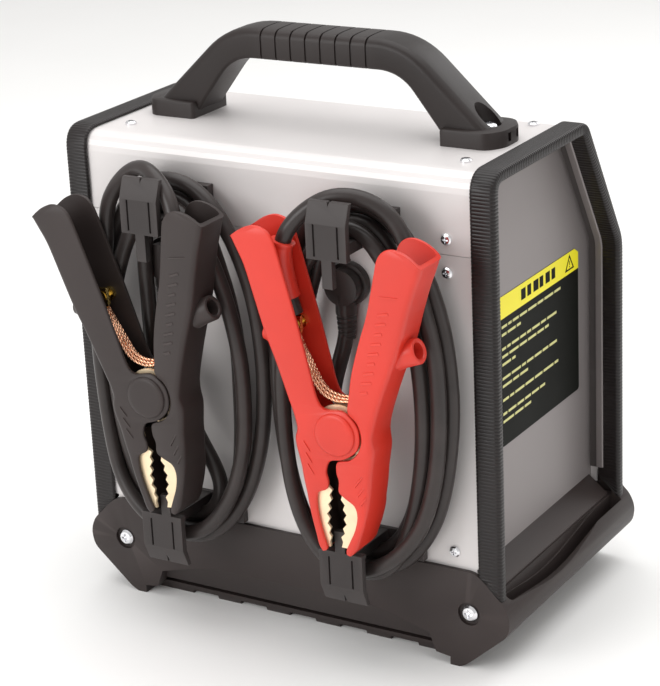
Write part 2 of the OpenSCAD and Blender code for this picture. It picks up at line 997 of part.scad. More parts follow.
module switch_body() {
  color([0.25, 0.10, 0.08])
    on_slope(switch_u, switch_v)
      difference() {
        union() {
          translate([0, 0, -40])
            cylinder(h = 40 - sheet_d - sheet - 0.1, r = 27, $fn = 48);
          translate([0, 0, -sheet_d - sheet - 1])
            cylinder(h = 3.2, r = 7.8, $fn = 40);
        }
        translate([0, 0, -24])
          cylinder(h = 30, r = 5.05, $fn = 40);
      }
}

module switch_knob() {
  color([0.80, 0.10, 0.08])
    on_slope(switch_u, switch_v)
      union() {
        translate([0, 0, -20])
          cylinder(h = 21, r = 5, $fn = 40);
        translate([0, 0, -1.8])
          rotate_extrude($fn = 60)
            polygon([[0, 0], [knob_dia / 2, 0], [knob_dia / 2, 4],
              [knob_dia / 2 - 2, 6], [0, 6]]);
        translate([0, 0, 4])
          linear_extrude(height = 13)
            polygon(rounded([[-7, -19], [7, -19], [5.5, 19], [0, 22], [-5.5, 19]],
              [3, 3, 2, 0, 2], 4));
      }
}

module test_bezel() {
  color([0.15, 0.15, 0.16])
    on_slope(test_u, test_v)
      difference() {
        union() {
          translate([0, 0, 1 - sheet_d])
            cylinder(h = 2.2, r = button_dia / 2 + 3, $fn = 48);
          translate([0, 0, -16])
            cylinder(h = 14, r = 5.9, $fn = 40);
        }
        translate([0, 0, -1.8])
          cylinder(h = 6, r = button_dia / 2 + 0.35, $fn = 48);
        translate([0, 0, -13])
          cylinder(h = 20, r = 3.05, $fn = 32);
      }
}

module test_button() {
  color([0.85, 0.85, 0.82])
    on_slope(test_u, test_v)
      union() {
        rotate_extrude($fn = 48)
          polygon([[0, 0.2], [button_dia / 2, 0.2], [button_dia / 2, 2.4],
            [button_dia / 2 - 1.2, 3.4], [0, 3.8]]);
        translate([0, 0, -10])
          cylinder(h = 10.4, r = 3, $fn = 32);
      }
}

module charge_lights() {
  color([0.25, 0.75, 0.35])
    for (i = [0 : 3])
      on_slope(light_u + i * 12, light_v)
        rotate_extrude($fn = 24)
          polygon([[0, -9], [2.6, -9], [2.6, -1.8], [1.8, -0.6], [0, 0]]);
}

module charge_board() {
  color([0.08, 0.30, 0.14])
    on_slope(14, 4)
      union() {
        translate([-34, -24, -18])
          cube([68, 48, 1.6]);
        for (x = [-24, 6])
          translate([x, -18, -24])
            cube([16, 12, 6.05]);
        translate([-4, 4, -16.45])
          cube([8, 8, 2.5]);
        for (i = [0 : 3])
          translate([light_u - 14 + i * 12, light_v - 4, -16.45])
            cylinder(h = 7.4, r = 2.4, $fn = 20);
      }
}

module power_socket() {
  face = rear_y - sheet_d;
  color([0.10, 0.10, 0.11])
    translate([socket_x, 0, socket_z])
      difference() {
        union() {
          rod_y(14, face - 48, face + 1);
          rod_y(19, face, face + 3);
          // Hinge ears above the mouth
          for (x = [-9, 5])
            translate([x, face, 15])
              cube([4, 8, 9]);
        }
        rod_y(10.6, face - 45, face + 10);
        translate([-10, face + 5, 21])
          rotate([0, 90, 0])
            cylinder(h = 20, r = 1.55, $fn = 24);
      }
}

module socket_cap() {
  face = rear_y - sheet_d;
  color([0.12, 0.12, 0.13])
    translate([socket_x, 0, socket_z])
      union() {
        difference() {
          rod_y(17, face + 3.1, face + 6);
          for (x = [-9.4, 4.8])
            translate([x, face + 2, 13.6])
              cube([4.6, 6, 6]);
        }
        rod_y(9.8, face + 0.6, face + 3.2);
        translate([-4.8, face + 3.1, 14])
          cube([9.6, 2.9, 7]);
        translate([-8.8, face + 5, 21])
          rotate([0, 90, 0])
            cylinder(h = 17.6, r = 1.5, $fn = 24);
        translate([-4.8, face + 5, 21])
          rotate([0, 90, 0])
            cylinder(h = 9.6, r = 2.3, $fn = 24);
        // Lifting lip
        translate([-7, face + 3.1, -20])
          cube([14, 2.9, 5]);
      }
}

// ---------- Inside ----------
battery_w = 181;
battery_d = 77;
battery_h = 160;
battery_y = 18;
battery_top = 8 + battery_h;

module battery_case() {
  color([0.28, 0.29, 0.31])
    union() {
      translate([-battery_w / 2, battery_y - battery_d / 2, 8])
        cube([battery_w, battery_d, battery_h]);
      translate([-battery_w / 2 + 6, battery_y - battery_d / 2 + 6, battery_top - eps])
        cube([battery_w - 12, battery_d - 12, 3]);
    }
}

module battery_posts() {
  color([0.72, 0.66, 0.50])
    for (x = [-74, 74])
      translate([x, battery_y, battery_top + 3 - eps]) {
        translate([-6, -7, 0])
          cube([12, 14, 9]);
        translate([0, 0, 8])
          cylinder(h = 8, r = 3, $fn = 24);
      }
}

module battery_bracket() {
  y0 = battery_y - battery_d / 2;
  color([0.62, 0.63, 0.65])
    along_x(-14, 14)
      polygon([[y0 - 15, 8], [y0 - 15, 10], [y0 - 2.2, 10], [y0 - 2.2, battery_top + 5.4],
        [y0 + battery_d + 2.2, battery_top + 5.4], [y0 + battery_d + 2.2, 10],
        [y0 + battery_d + 15, 10], [y0 + battery_d + 15, 8], [y0 + battery_d + 0.2, 8],
        [y0 + battery_d + 0.2, battery_top + 3.2], [y0 - 0.2, battery_top + 3.2],
        [y0 - 0.2, 8]]);
}

module main_fuse() {
  color([0.80, 0.62, 0.20])
    translate([0, 0, battery_top + 3]) {
      translate([22, battery_y - 14, 0])
        cube([34, 28, 12]);
      translate([27, battery_y, 11])
        cylinder(h = 9, r = 3, $fn = 24);
      translate([51, battery_y, 11])
        cylinder(h = 9, r = 3, $fn = 24);
    }
}

positive_run = [[74, battery_y, 187.1], [73, battery_y, 198], [62, battery_y + 2, 205],
  [53, battery_y + 2, 201], [51, battery_y, 191.1]];
output_run = [[27, battery_y, 191.1], [30, battery_y + 4, 208], [48, 30, 232],
  [76, 40, 258], [92, 50, 279], [92, 59.5, 284.4]];
outlet_run = [[66, 59.5, 284.4], [66, 50, 279], [64, 20, 272], [61, -30, 269],
  [60, -56, 270], [60, -66.5, 270]];
negative_run = [[-74, battery_y, 187.1], [-76, battery_y - 4, 205], [-84, -8, 225],
  [-87, -34, 250], [-87, -50, 266], [-87, -58, 270], [-87, -66.5, 270]];

module positive_link() {
  color([0.75, 0.12, 0.10])
    tube(smooth(positive_run, 2), 4, [0, 1, 0], 8);
}

module output_link() {
  color([0.75, 0.12, 0.10])
    tube(smooth(output_run, 2), 4, [0, 1, 0], 8);
}

module outlet_link() {
  color([0.75, 0.12, 0.10])
    tube(smooth(outlet_run, 2), 4, [1, 0, 0], 8);
}

module negative_link() {
  color([0.08, 0.08, 0.08])
    tube(smooth(negative_run, 2), 4, [1, 0, 0], 8);
}

base_tray();
rear_panel();
top_cover();
control_panel();
side_panel_left();
side_panel_right();
edge_trim_left();
edge_trim_right();
caution_plate();
carry_handle();
handle_bolts();
cover_screws();
base_screws();
hook_upper_black();
hook_upper_red();
hook_lower_black();
hook_lower_red();
gland_black();
gland_red();
lead_start_black();
lead_start_red();
lead_coil_black();
lead_coil_red();
lead_end_black();
lead_end_red();
black_fixed_grip();
black_moving_grip();
black_fixed_jaw();
black_moving_jaw();
black_pivot();
black_spring();
black_braid();
black_lug_bolt();
black_lead_lug();
red_fixed_grip();
red_moving_grip();
red_fixed_jaw();
red_moving_jaw();
red_pivot();
red_spring();
red_braid();
red_lug_bolt();
control_fascia();
switch_body();
switch_knob();
test_bezel();
test_button();
charge_lights();
power_socket();
socket_cap();
battery_case();
battery_posts();
battery_bracket();
main_fuse();
charge_board();
positive_link();
output_link();
outlet_link();
negative_link();
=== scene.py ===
"""Looks of the jump starter pack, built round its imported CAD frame.

Lengths are in millimetres until they reach a mesh.
"""
import json
import math

import bmesh
import bpy
from mathutils import Matrix, Vector


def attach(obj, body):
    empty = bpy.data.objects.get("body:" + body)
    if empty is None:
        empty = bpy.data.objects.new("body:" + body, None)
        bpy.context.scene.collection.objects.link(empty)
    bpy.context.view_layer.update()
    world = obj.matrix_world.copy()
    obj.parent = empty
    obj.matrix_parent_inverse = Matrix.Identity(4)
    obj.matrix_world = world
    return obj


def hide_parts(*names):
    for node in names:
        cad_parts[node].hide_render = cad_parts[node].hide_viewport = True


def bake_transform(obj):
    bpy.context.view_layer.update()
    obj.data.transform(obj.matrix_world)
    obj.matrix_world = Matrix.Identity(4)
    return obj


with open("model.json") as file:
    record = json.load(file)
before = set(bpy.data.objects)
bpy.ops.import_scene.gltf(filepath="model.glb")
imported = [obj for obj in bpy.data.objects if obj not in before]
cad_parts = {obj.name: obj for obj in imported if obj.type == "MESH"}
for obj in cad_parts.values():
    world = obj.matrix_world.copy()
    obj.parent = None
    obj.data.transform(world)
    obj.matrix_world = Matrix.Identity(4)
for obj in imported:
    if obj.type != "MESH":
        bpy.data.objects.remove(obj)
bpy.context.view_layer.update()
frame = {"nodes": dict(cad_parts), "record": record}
nodes = frame["nodes"]
MM = 0.001
FLOOR_HALF = 6000

# ---------------------------------------------------------------- camera, light, floor
cam_data = bpy.data.cameras.new("camera")
cam = bpy.data.objects.new("camera", cam_data)
bpy.context.scene.collection.objects.link(cam)
right = Vector((0.8581728, 0.51142217, -0.04457366))
up = Vector((-0.13916379, 0.31533406, 0.9387214))
back = Vector((0.49413853, -0.79938213, 0.34178256))
turn = Matrix((right, up, back)).transposed().to_4x4()
cam.matrix_world = Matrix.Translation((0.804464, -1.311676, 0.751605)) @ turn
cam_data.sensor_width = 36
cam_data.lens = 118.954
cam_data.clip_start = 0.05
bpy.context.scene.camera = cam

world = bpy.data.worlds.new("studio")
bpy.context.scene.world = world
world.use_nodes = True
world.node_tree.nodes["Background"].inputs["Color"].default_value = (1, 0.995, 0.985, 1)
world.node_tree.nodes["Background"].inputs["Strength"].default_value = 0.68
bpy.context.scene.view_settings.view_transform = "Standard"


def softbox(name, place, aim, size, watts):
    data = bpy.data.lights.new(name, "AREA")
    data.shape, data.size, data.size_y = "RECTANGLE", size[0], size[1]
    data.energy = watts
    lamp = bpy.data.objects.new(name, data)
    bpy.context.scene.collection.objects.link(lamp)
    lamp.location = place
    lamp.rotation_euler = (Vector(aim) - Vector(place)).to_track_quat("-Z", "Y").to_euler()


softbox("key", (-0.8, -1.9, 0.95), (0, 0, 0.2), (1.2, 1.0), 19)
softbox("top", (0.0, 0.1, 2.2), (0, 0, 0.3), (2.4, 2.4), 36)
softbox("side", (1.8, -0.5, 0.7), (0.1, 0, 0.2), (0.7, 1.2), 2.5)
softbox("rear", (0.5, 1.6, 1.2), (0, 0.1, 0.25), (1.2, 1.0), 7)


def add_mesh(name, verts, faces):
    """New object from points in millimetres."""
    data = bpy.data.meshes.new(name)
    data.from_pydata([tuple(c * MM for c in v) for v in verts], [], faces)
    data.update()
    obj = bpy.data.objects.new(name, data)
    bpy.context.scene.collection.objects.link(obj)
    return obj


floor_corners = [(x * FLOOR_HALF, y * FLOOR_HALF, 0) for x, y in ((-1, -1), (1, -1), (1, 1), (-1, 1))]
floor = add_mesh("floor", floor_corners, [(0, 1, 2, 3)])


# ---------------------------------------------------------------- materials
SHADER = "Principled BSDF"
BUMP_DEPTH = 0.0002
M = {}


def material(name, colour, rough, metal, grain, grain_scale, tint, patch, rough_spread=0.08,
             wear=0.0, wear_colour=None, coat=0.0):
    """Base colour and roughness that drift in patches, fine grain as bump, and paler edges where worn."""
    mat = M[name] = bpy.data.materials.new(name)
    mat.use_nodes = True
    add, link = mat.node_tree.nodes.new, mat.node_tree.links.new
    shader = mat.node_tree.nodes[SHADER]
    shader.inputs["Metallic"].default_value = metal
    shader.inputs["Coat Weight"].default_value = coat
    shader.inputs["Coat Roughness"].default_value = 0.15
    where = add("ShaderNodeTexCoord").outputs["Object"]

    def noise(scale, detail):
        node = add("ShaderNodeTexNoise")
        node.inputs["Scale"].default_value = scale
        node.inputs["Detail"].default_value = detail
        link(where, node.inputs["Vector"])
        return node.outputs["Fac"]

    broad, fine = noise(patch, 5), noise(grain_scale, 3)
    ramp = add("ShaderNodeValToRGB")
    dark, light = ramp.color_ramp.elements
    dark.position, light.position = 0.3, 0.7
    dark.color = [c * (1 - tint) for c in colour] + [1]
    light.color = [min(1, c * (1 + tint)) for c in colour] + [1]
    link(broad, ramp.inputs["Fac"])
    top = ramp.outputs["Color"]
    if wear:
        edge = add("ShaderNodeNewGeometry")
        keep = add("ShaderNodeValToRGB")
        flat, sharp = keep.color_ramp.elements
        flat.position, sharp.position = 0.52, 0.60
        sharp.color = (wear, wear, wear, 1)
        link(edge.outputs["Pointiness"], keep.inputs["Fac"])
        mix = add("ShaderNodeMix")
        mix.data_type = "RGBA"
        link(keep.outputs["Color"], mix.inputs["Factor"])
        link(top, mix.inputs["A"])
        mix.inputs["B"].default_value = list(wear_colour or [min(1, c * 2.2 + 0.02) for c in colour]) + [1]
        top = mix.outputs["Result"]
    link(top, shader.inputs["Base Color"])
    spread = add("ShaderNodeMapRange")
    spread.inputs["To Min"].default_value = max(0.02, rough - rough_spread)
    spread.inputs["To Max"].default_value = min(1, rough + rough_spread)
    link(broad, spread.inputs["Value"])
    link(spread.outputs["Result"], shader.inputs["Roughness"])
    bump = add("ShaderNodeBump")
    bump.inputs["Strength"].default_value = grain
    bump.inputs["Distance"].default_value = BUMP_DEPTH
    link(fine, bump.inputs["Height"])
    link(bump.outputs["Normal"], shader.inputs["Normal"])


material("case_silver", (0.70, 0.668, 0.66), 0.47, 0.3, 0.10, 2600, 0.03, 9, 0.05)
material("side_grey", (0.25, 0.225, 0.222), 0.45, 0.35, 0.12, 2600, 0.04, 9, 0.05)
# Darker grey for the side trays' walls: painted shade, not a finish of its own
material("side_wall_painted_shade", (0.10, 0.088, 0.086), 0.45, 0.35, 0.12, 2600, 0.06, 9, 0.05)
material("base_black", (0.030, 0.0215, 0.020), 0.50, 0, 0.35, 1900, 0.12, 16, wear=0.3)
material("hook_black", (0.032, 0.026, 0.025), 0.48, 0, 0.30, 1900, 0.12, 22, wear=0.35)
material("trim_rubber", (0.011, 0.008, 0.0078), 0.34, 0, 0.2, 2400, 0.15, 30, wear=0.2)
material("handle_black", (0.0155, 0.0105, 0.0095), 0.44, 0, 0.30, 2100, 0.10, 18, wear=0.25)
material("screw_steel", (0.78, 0.78, 0.80), 0.20, 1, 0.08, 3000, 0.05, 120, 0.06)
material("lead_rubber", (0.034, 0.027, 0.0255), 0.34, 0, 0.18, 1400, 0.2, 45)
material("grip_black", (0.032, 0.0235, 0.022), 0.46, 0, 0.28, 2000, 0.10, 20, wear=0.3)
material("grip_red", (0.63, 0.030, 0.015), 0.40, 0, 0.22, 2000, 0.07, 20, wear=0.2,
         wear_colour=(0.80, 0.10, 0.07))
material("jaw_brass", (0.93, 0.74, 0.50), 0.36, 0.55, 0.2, 900, 0.08, 90)
# Near-black for the jaws' far plate and web: painted shade inside the clamp
material("jaw_painted_shade", (0.030, 0.018, 0.014), 0.55, 0.3, 0.3, 900, 0.2, 90)
material("copper_braid", (0.90, 0.52, 0.34), 0.26, 1, 0.3, 2500, 0.12, 300)
material("bolt_brass", (0.86, 0.64, 0.22), 0.24, 1, 0.1, 2500, 0.05, 90)
material("spring_steel", (0.62, 0.62, 0.64), 0.28, 1, 0.15, 1800, 0.06, 90)
material("fascia_black", (0.014, 0.014, 0.015), 0.30, 0, 0.12, 2600, 0.12, 25, coat=0.3)
material("knob_red", (0.58, 0.018, 0.014), 0.32, 0, 0.15, 1900, 0.06, 25, wear=0.25, coat=0.2)
material("button_white", (0.72, 0.71, 0.68), 0.36, 0, 0.12, 1900, 0.03, 60)
material("lens_green", (0.06, 0.45, 0.13), 0.16, 0, 0.05, 1500, 0.12, 200, coat=0.6)
material("battery_grey", (0.045, 0.048, 0.055), 0.52, 0, 0.3, 1500, 0.08, 20)
material("lead_metal", (0.42, 0.40, 0.36), 0.50, 0.8, 0.4, 900, 0.15, 80)
material("bracket_steel", (0.46, 0.47, 0.49), 0.34, 0.9, 0.15, 1500, 0.06, 40)
material("fuse_amber", (0.60, 0.33, 0.04), 0.28, 0, 0.1, 1500, 0.08, 60, coat=0.3)
material("board_green", (0.015, 0.10, 0.035), 0.35, 0, 0.2, 900, 0.2, 200)
material("link_red", (0.50, 0.018, 0.014), 0.40, 0, 0.18, 1400, 0.08, 45)
material("label_yellow", (0.88, 0.77, 0.012), 0.45, 0, 0.06, 2600, 0.02, 20)
material("label_black", (0.004, 0.0045, 0.003), 0.55, 0, 0.06, 2600, 0.10, 20)
material("label_pale", (0.62, 0.60, 0.24), 0.5, 0, 0.06, 2600, 0.05, 40)
material("floor", (0.93, 0.925, 0.915), 0.75, 0, 0.05, 300, 0.01, 3)
SPECULAR = {
    "case_silver": 0.35, "label_black": 0.1, "base_black": 0.34, "hook_black": 0.34, "trim_rubber": 0.34,
    "handle_black": 0.34, "lead_rubber": 0.34, "grip_black": 0.34,
}
for finish, level in SPECULAR.items():
    M[finish].node_tree.nodes[SHADER].inputs["Specular IOR Level"].default_value = level
floor.data.materials.append(M["floor"])

# Width of the soft moulded edge on each CAD node
SOFT_EDGE = {
    "base_tray": 1.2, "gland_black": 0.8, "gland_red": 0.8,
    "switch_knob": 0.8, "switch_body": 0.5, "test_bezel": 0.4, "power_socket": 0.5, "socket_cap": 0.6,
    "battery_case": 2.0, "main_fuse": 0.8,
}


def soften(obj, width):
    weld = obj.modifiers.new("weld", "WELD")
    weld.merge_threshold = 0.00001
    bevel = obj.modifiers.new("soft", "BEVEL")
    bevel.width = width * MM
    bevel.segments = 3
    bevel.limit_method, bevel.angle_limit = "ANGLE", math.radians(32)
    bevel.harden_normals = True
    for poly in obj.data.polygons:
        poly.use_smooth = True


for part in frame["record"]["subparts"]:
    shown = nodes[part["node"]]
    shown.data.materials.clear()
    finish = "label_black" if part["material_slot"] == "label" else part["material_slot"]
    shown.data.materials.append(M[finish])
    for poly in shown.data.polygons:
        poly.material_index = 0
    if part["node"] in SOFT_EDGE:
        soften(shown, SOFT_EDGE[part["node"]])


# In metres: the trays' recessed faces lie inside TRAY_FACE_X, and their lowest ledge below TRAY_LEDGE_Z. The
# walls above the ledge get a darker grey: painted shade in the recess.
TRAY_FACE_X, TRAY_LEDGE_Z = 0.1453, 0.0712
for tray in ("side_panel_right", "side_panel_left"):
    mesh = nodes[tray].data
    mesh.materials.append(M["base_black"])
    mesh.materials.append(M["side_wall_painted_shade"])
    for poly in mesh.polygons:
        if abs(poly.center.x) > TRAY_FACE_X:
            # Ledge faces black, wall faces the darker grey of painted shade
            poly.material_index = 1 if poly.center.z < TRAY_LEDGE_Z else 2


# ---------------------------------------------------------------- shared shapes
def place(obj, body, slot, mats=None, smooth=35):
    for m in mats or [slot]:
        obj.data.materials.append(M[m])
    if smooth:
        for poly in obj.data.polygons:
            poly.use_smooth = True
        obj.data.set_sharp_from_angle(angle=math.radians(smooth))
    if body:
        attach(obj, body)
    return obj


def spline(points, i, f):
    """Catmull-Rom point at share f of the span from point i to the next."""
    a, b, c, d = points[max(i - 1, 0)], points[i], points[i + 1], points[min(i + 2, len(points) - 1)]
    return 0.5 * (2 * b + (c - a) * f + (2 * a - 5 * b + 4 * c - d) * f * f + (3 * b - a - 3 * c + d) * f ** 3)


def curve_through(points, step):
    """Smooth line through the points, evenly spaced."""
    p = [Vector(q) for q in points]
    fine = []
    for i in range(len(p) - 1):
        n = max(2, int((p[i + 1] - p[i]).length))
        fine += [spline(p, i, k / n) for k in range(n)]
    return spaced(fine + [p[-1]], step)


def spaced(line, step):
    """The same line with its points about one step apart."""
    run = [0.0]
    for a, b in zip(line, line[1:]):
        run.append(run[-1] + (b - a).length)
    count = max(2, round(run[-1] / step))
    out, k = [], 0
    for i in range(count + 1):
        want = run[-1] * i / count
        while k < len(run) - 2 and run[k + 1] < want:
            k += 1
        gap = max(run[k + 1] - run[k], 1e-9)
        out.append(line[k].lerp(line[k + 1], (want - run[k]) / gap))
    return out


def relax(line, passes, keep=3):
    """Ease the bends, holding the points at both ends."""
    for _ in range(passes):
        line = [p if i < keep or i >= len(line) - keep else
                p * 0.5 + (line[i - 1] + line[i + 1]) * 0.25 for i, p in enumerate(line)]
    return line


def length_of(line):
    return sum((b - a).length for a, b in zip(line, line[1:]))


def heading(line, i):
    """Direction of the line at its point i."""
    return (line[min(i + 1, len(line) - 1)] - line[max(i - 1, 0)]).normalized()


def walls(rings, n):
    """Quads between rings of n points each."""
    faces = []
    for i in range(rings - 1):
        for k in range(n):
            a, b = i * n + k, i * n + (k + 1) % n
            faces.append((a, b, b + n, a + n))
    return faces


def skin(rings, n):
    """Quads between rings of n points, and a cap on the first and the last ring."""
    return walls(rings, n) + [tuple(range(n - 1, -1, -1)), tuple(range((rings - 1) * n, rings * n))]


def prism_faces(n):
    """Both ends and the sides of a solid cut from an outline of n points."""
    return [tuple(range(n - 1, -1, -1)), tuple(range(n, 2 * n))] + [
        (k, (k + 1) % n, n + (k + 1) % n, n + k) for k in range(n)]


def prism_x(points, x0, x1):
    """Solid cut along X from an outline in Y and Z."""
    return [(x, y, z) for x in (x0, x1) for y, z in points], prism_faces(len(points))


def prism_y(points, y0, y1):
    """Solid cut along Y from an outline in X and Z."""
    return [(x, y, z) for y in (y0, y1) for x, z in points], prism_faces(len(points))


def block(x0, x1, y0, y1, z0, z1):
    return [(x, y, z) for z in (z0, z1) for x, y in ((x0, y0), (x1, y0), (x1, y1), (x0, y1))], prism_faces(4)


def circle(r, n):
    return [(r * math.cos(2 * math.pi * k / n), r * math.sin(2 * math.pi * k / n)) for k in range(n)]


def tube(line, radius, sides, start=Vector((1, 0, 0))):
    """Closed tube whose rings turn as little as they can; its radius may depend on the share along."""
    verts, ref = [], start
    for i, p in enumerate(line):
        t = heading(line, i)
        ref = (ref - t * ref.dot(t)).normalized()
        side = t.cross(ref)
        r = radius(i / (len(line) - 1)) if callable(radius) else radius
        verts += [p + ref * a + side * b for a, b in circle(r, sides)]
    return verts, skin(len(line), sides)


def join(parts):
    """One set of points and faces, with the material index of each face."""
    verts, faces, which = [], [], []
    for part in parts:
        v, f = part[0], part[1]
        base = len(verts)
        verts += list(v)
        faces += [tuple(i + base for i in face) for face in f]
        which += [part[2] if len(part) > 2 else 0] * len(f)
    return verts, faces, which


def clean(obj, weld=0, thin=0, flat=0, outward=True):
    """Merge close points, drop slivers, join faces flat to within some degrees and turn faces outwards."""
    bm = bmesh.new()
    bm.from_mesh(obj.data)
    if weld:
        bmesh.ops.remove_doubles(bm, verts=bm.verts, dist=weld)
    if thin:
        bmesh.ops.dissolve_degenerate(bm, edges=bm.edges, dist=thin)
    if flat:
        bmesh.ops.dissolve_limit(bm, angle_limit=math.radians(flat), verts=bm.verts, edges=bm.edges)
    if outward:
        bmesh.ops.recalc_face_normals(bm, faces=bm.faces)
    bm.to_mesh(obj.data)
    bm.free()
    return obj


# ---------------------------------------------------------------- ribbed edge trims
def corner(a, b, c, cut, n=10):
    """Curve that rounds the corner b, starting at a set cut from it."""
    p, q = b + (a - b).normalized() * cut, b + (c - b).normalized() * cut
    return [p * (1 - f) ** 2 + b * (2 * f * (1 - f)) + q * f * f for f in [k / n for k in range(n + 1)]]


# The trim's outer line in Y and Z, seen along X
rim_pts = [Vector(p) for p in [(-80, 46), (-80, 357), (64.3, 357), (123, 257), (123, 46)]]
rim = [rim_pts[0]]
for i, cut in ((1, 17), (2, 9), (3, 9)):
    rim += corner(rim_pts[i - 1], rim_pts[i], rim_pts[i + 1], cut)
rim.append(rim_pts[4])
rim = spaced([p.to_3d() for p in rim], 0.5)
# Channel section: x across the trim, d inwards from the rim, and how far a groove cuts it (x, d)
SECTION = [(153.2, 3.1, 0, 0), (152.0, 2.2, 0.35, 0), (152.0, 1.2, 0.3, 0.1), (152.9, 0.2, 0.2, 0.25),
           (154.5, 0, 0, 0.32), (161, 0, 0, 0.32), (166.8, 0, 0, 0.32), (168.9, 0.5, -0.2, 0.28),
           (169.8, 1.7, -0.3, 0.1), (170, 3.2, -0.32, 0), (170, 5.8, -0.32, 0), (169.7, 7.4, -0.3, -0.1),
           (168.6, 8.6, -0.2, -0.25), (166.8, 9, 0, -0.3), (156, 9, 0, -0.3), (153, 8.6, 0.15, -0.2),
           (152.3, 7.6, 0.3, 0), (153.2, 6, 0, 0), (165.8, 6, 0, 0), (165.8, 3.1, 0, 0)]


RIB_PITCH = 2.5
RIB = ((0.0, 1), (0.45, 0.35), (1.1, 0), (1.9, 0.35))  # distance along, and how deep the groove is there


def foot_z(x):
    """Height of the tray's sloping ledge, where the trim ends."""
    return 74.5 - (x - 150) * 0.95


def trim(name, side, node):
    verts, total, last = [], length_of(rim), len(rim) - 1
    rings, start = [], 0.0
    while start < total:
        rings += [(start + ds, g) for ds, g in RIB if start + ds < total]
        start += RIB_PITCH
    for s, g in rings:
        k = min(int(s / total * last), last - 1)
        p = rim[k].lerp(rim[k + 1], s / total * last - k)
        t = (rim[min(k + 3, last)] - rim[max(k - 2, 0)]).normalized()
        n = Vector((t.y, -t.x, 0))
        for x, d, gx, gd in SECTION:
            x, q = x + gx * g, p + n * (d + gd * g)
            verts.append([side * x, q.x, max(q.y, foot_z(x))])
    faces = skin(len(rings), len(SECTION))
    obj = add_mesh(name, verts, faces if side < 0 else [face[::-1] for face in faces])
    place(clean(obj, 0.00002, 0.00001), "pack", "trim_rubber", smooth=40)
    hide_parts(node)


def tray_edge(name, side):
    """Turned-out edge of the side tray, a thin pale line inside the trim."""
    verts = []
    line = [p for p in spaced(rim, 2.0) if p.y > 76.5]
    section = [(151.9, 9.0), (151.9, 9.7), (152.6, 10.1), (156.6, 10.1), (157.2, 9.0)]
    for i, p in enumerate(line):
        t = heading(line, i)
        n = Vector((t.y, -t.x, 0))
        verts += [(side * x, (p + n * d).x, (p + n * d).y) for x, d in section]
    obj = add_mesh(name, verts, skin(len(line), len(section)))
    place(clean(obj), "pack", "side_grey", smooth=40)


tray_edge("tray_edge_right", 1)
tray_edge("tray_edge_left", -1)
trim("ribbed_trim_right", 1, "edge_trim_right")
trim("ribbed_trim_left", -1, "edge_trim_left")


# ---------------------------------------------------------------- carry handle
HANDLE_Y, HALF_W = 2.0, 17.0
HANDLE_TOP, HANDLE_UNDER = 421.5, 400
FOOT_BASE, FOOT_TOP = 353.7, 365.7
BOLT_X = 125


def loft_station(outer, inner, groove):
    """Rounded section between an outer and an inner point, wide along Y, drawn in by the groove's depth."""
    o, i = Vector((outer[0], 0, outer[1])), Vector((inner[0], 0, inner[1]))
    axis = (o - i).normalized()
    h = (o - i).length
    r_top, r_low, half = 6.0, 3.0, HALF_W - groove
    shape = [(-half, r_low), (-half, h - r_top)]
    for a in (20, 45, 70):
        c, s = math.cos(math.radians(a)), math.sin(math.radians(a))
        shape.append((-half + r_top - r_top * c, h - r_top + r_top * s - groove))
    shape += [(-half + r_top, h - groove), (-HALF_W * 0.33, h - groove + 0.35)]
    shape += [(-x, z) for x, z in reversed(shape)]
    low = []
    for a in (25, 65):
        c, s = math.cos(math.radians(a)), math.sin(math.radians(a))
        low.append((half - r_low + r_low * c, r_low - r_low * s))
    low.append((half - r_low, 0))
    shape += low + [(-x, z) for x, z in reversed(low)]
    return [((i + axis * z).x, HANDLE_Y + x, (i + axis * z).z) for x, z in shape]


def handle():
    out_pts = [Vector(p) for p in [(0, HANDLE_TOP), (71, HANDLE_TOP), (132, 364.5)]]
    in_pts = [Vector(p) for p in [(0, HANDLE_UNDER), (67, HANDLE_UNDER), (101, 356)]]
    arc_o, arc_i = corner(*out_pts, 24, 9), corner(*in_pts, 17, 9)
    half_span = []
    for x in [12 * (k + 0.5) for k in range(4)]:
        for dx, g in ((-0.75, 0), (-0.45, 0.9), (0.45, 0.9), (0.75, 0)):
            half_span.append(((x + dx, HANDLE_TOP), (x + dx, HANDLE_UNDER), g))
    half_span += [(tuple(a), tuple(b), 0) for a, b in zip(arc_o, arc_i)]
    for f in (0.25, 0.5, 0.75, 1.0):
        half_span.append((tuple(arc_o[-1].lerp(out_pts[2], f)), tuple(arc_i[-1].lerp(in_pts[2], f)), 0))
    full = [((-o[0], o[1]), (-i[0], i[1]), g) for o, i, g in reversed(half_span)] + half_span
    verts = [v for o, i, g in full for v in loft_station(o, i, g)]
    return verts, skin(len(full), len(verts) // len(full))


def slab(outline, z0, z1, inset):
    """Upright slab with a soft top edge."""
    mid = Vector((sum(p[0] for p in outline) / len(outline), sum(p[1] for p in outline) / len(outline)))
    levels = [(z0, 0.0), (z1 - inset, 0.0), (z1 - inset * 0.3, inset * 0.3), (z1, inset)]
    verts = []
    for z, d in levels:
        for p in outline:
            q = Vector(p) + (mid - Vector(p)).normalized() * d
            verts.append((q.x, q.y, z))
    return verts, skin(len(levels), len(outline))


def rounded(points, cuts, n=5):
    """Outline whose corners are rounded by the given cuts."""
    p = [Vector(q) for q in points]
    out = []
    for i, cut in enumerate(cuts):
        out += corner(p[i - 1], p[i], p[(i + 1) % len(p)], cut, n) if cut else [p[i]]
    return out


def cylinder(x, y, z0, z1, r, n=40):
    faces = prism_faces(n)
    return [(x + a, y + b, z) for z in (z0, z1) for a, b in circle(r, n)], faces[2:] + faces[:2]


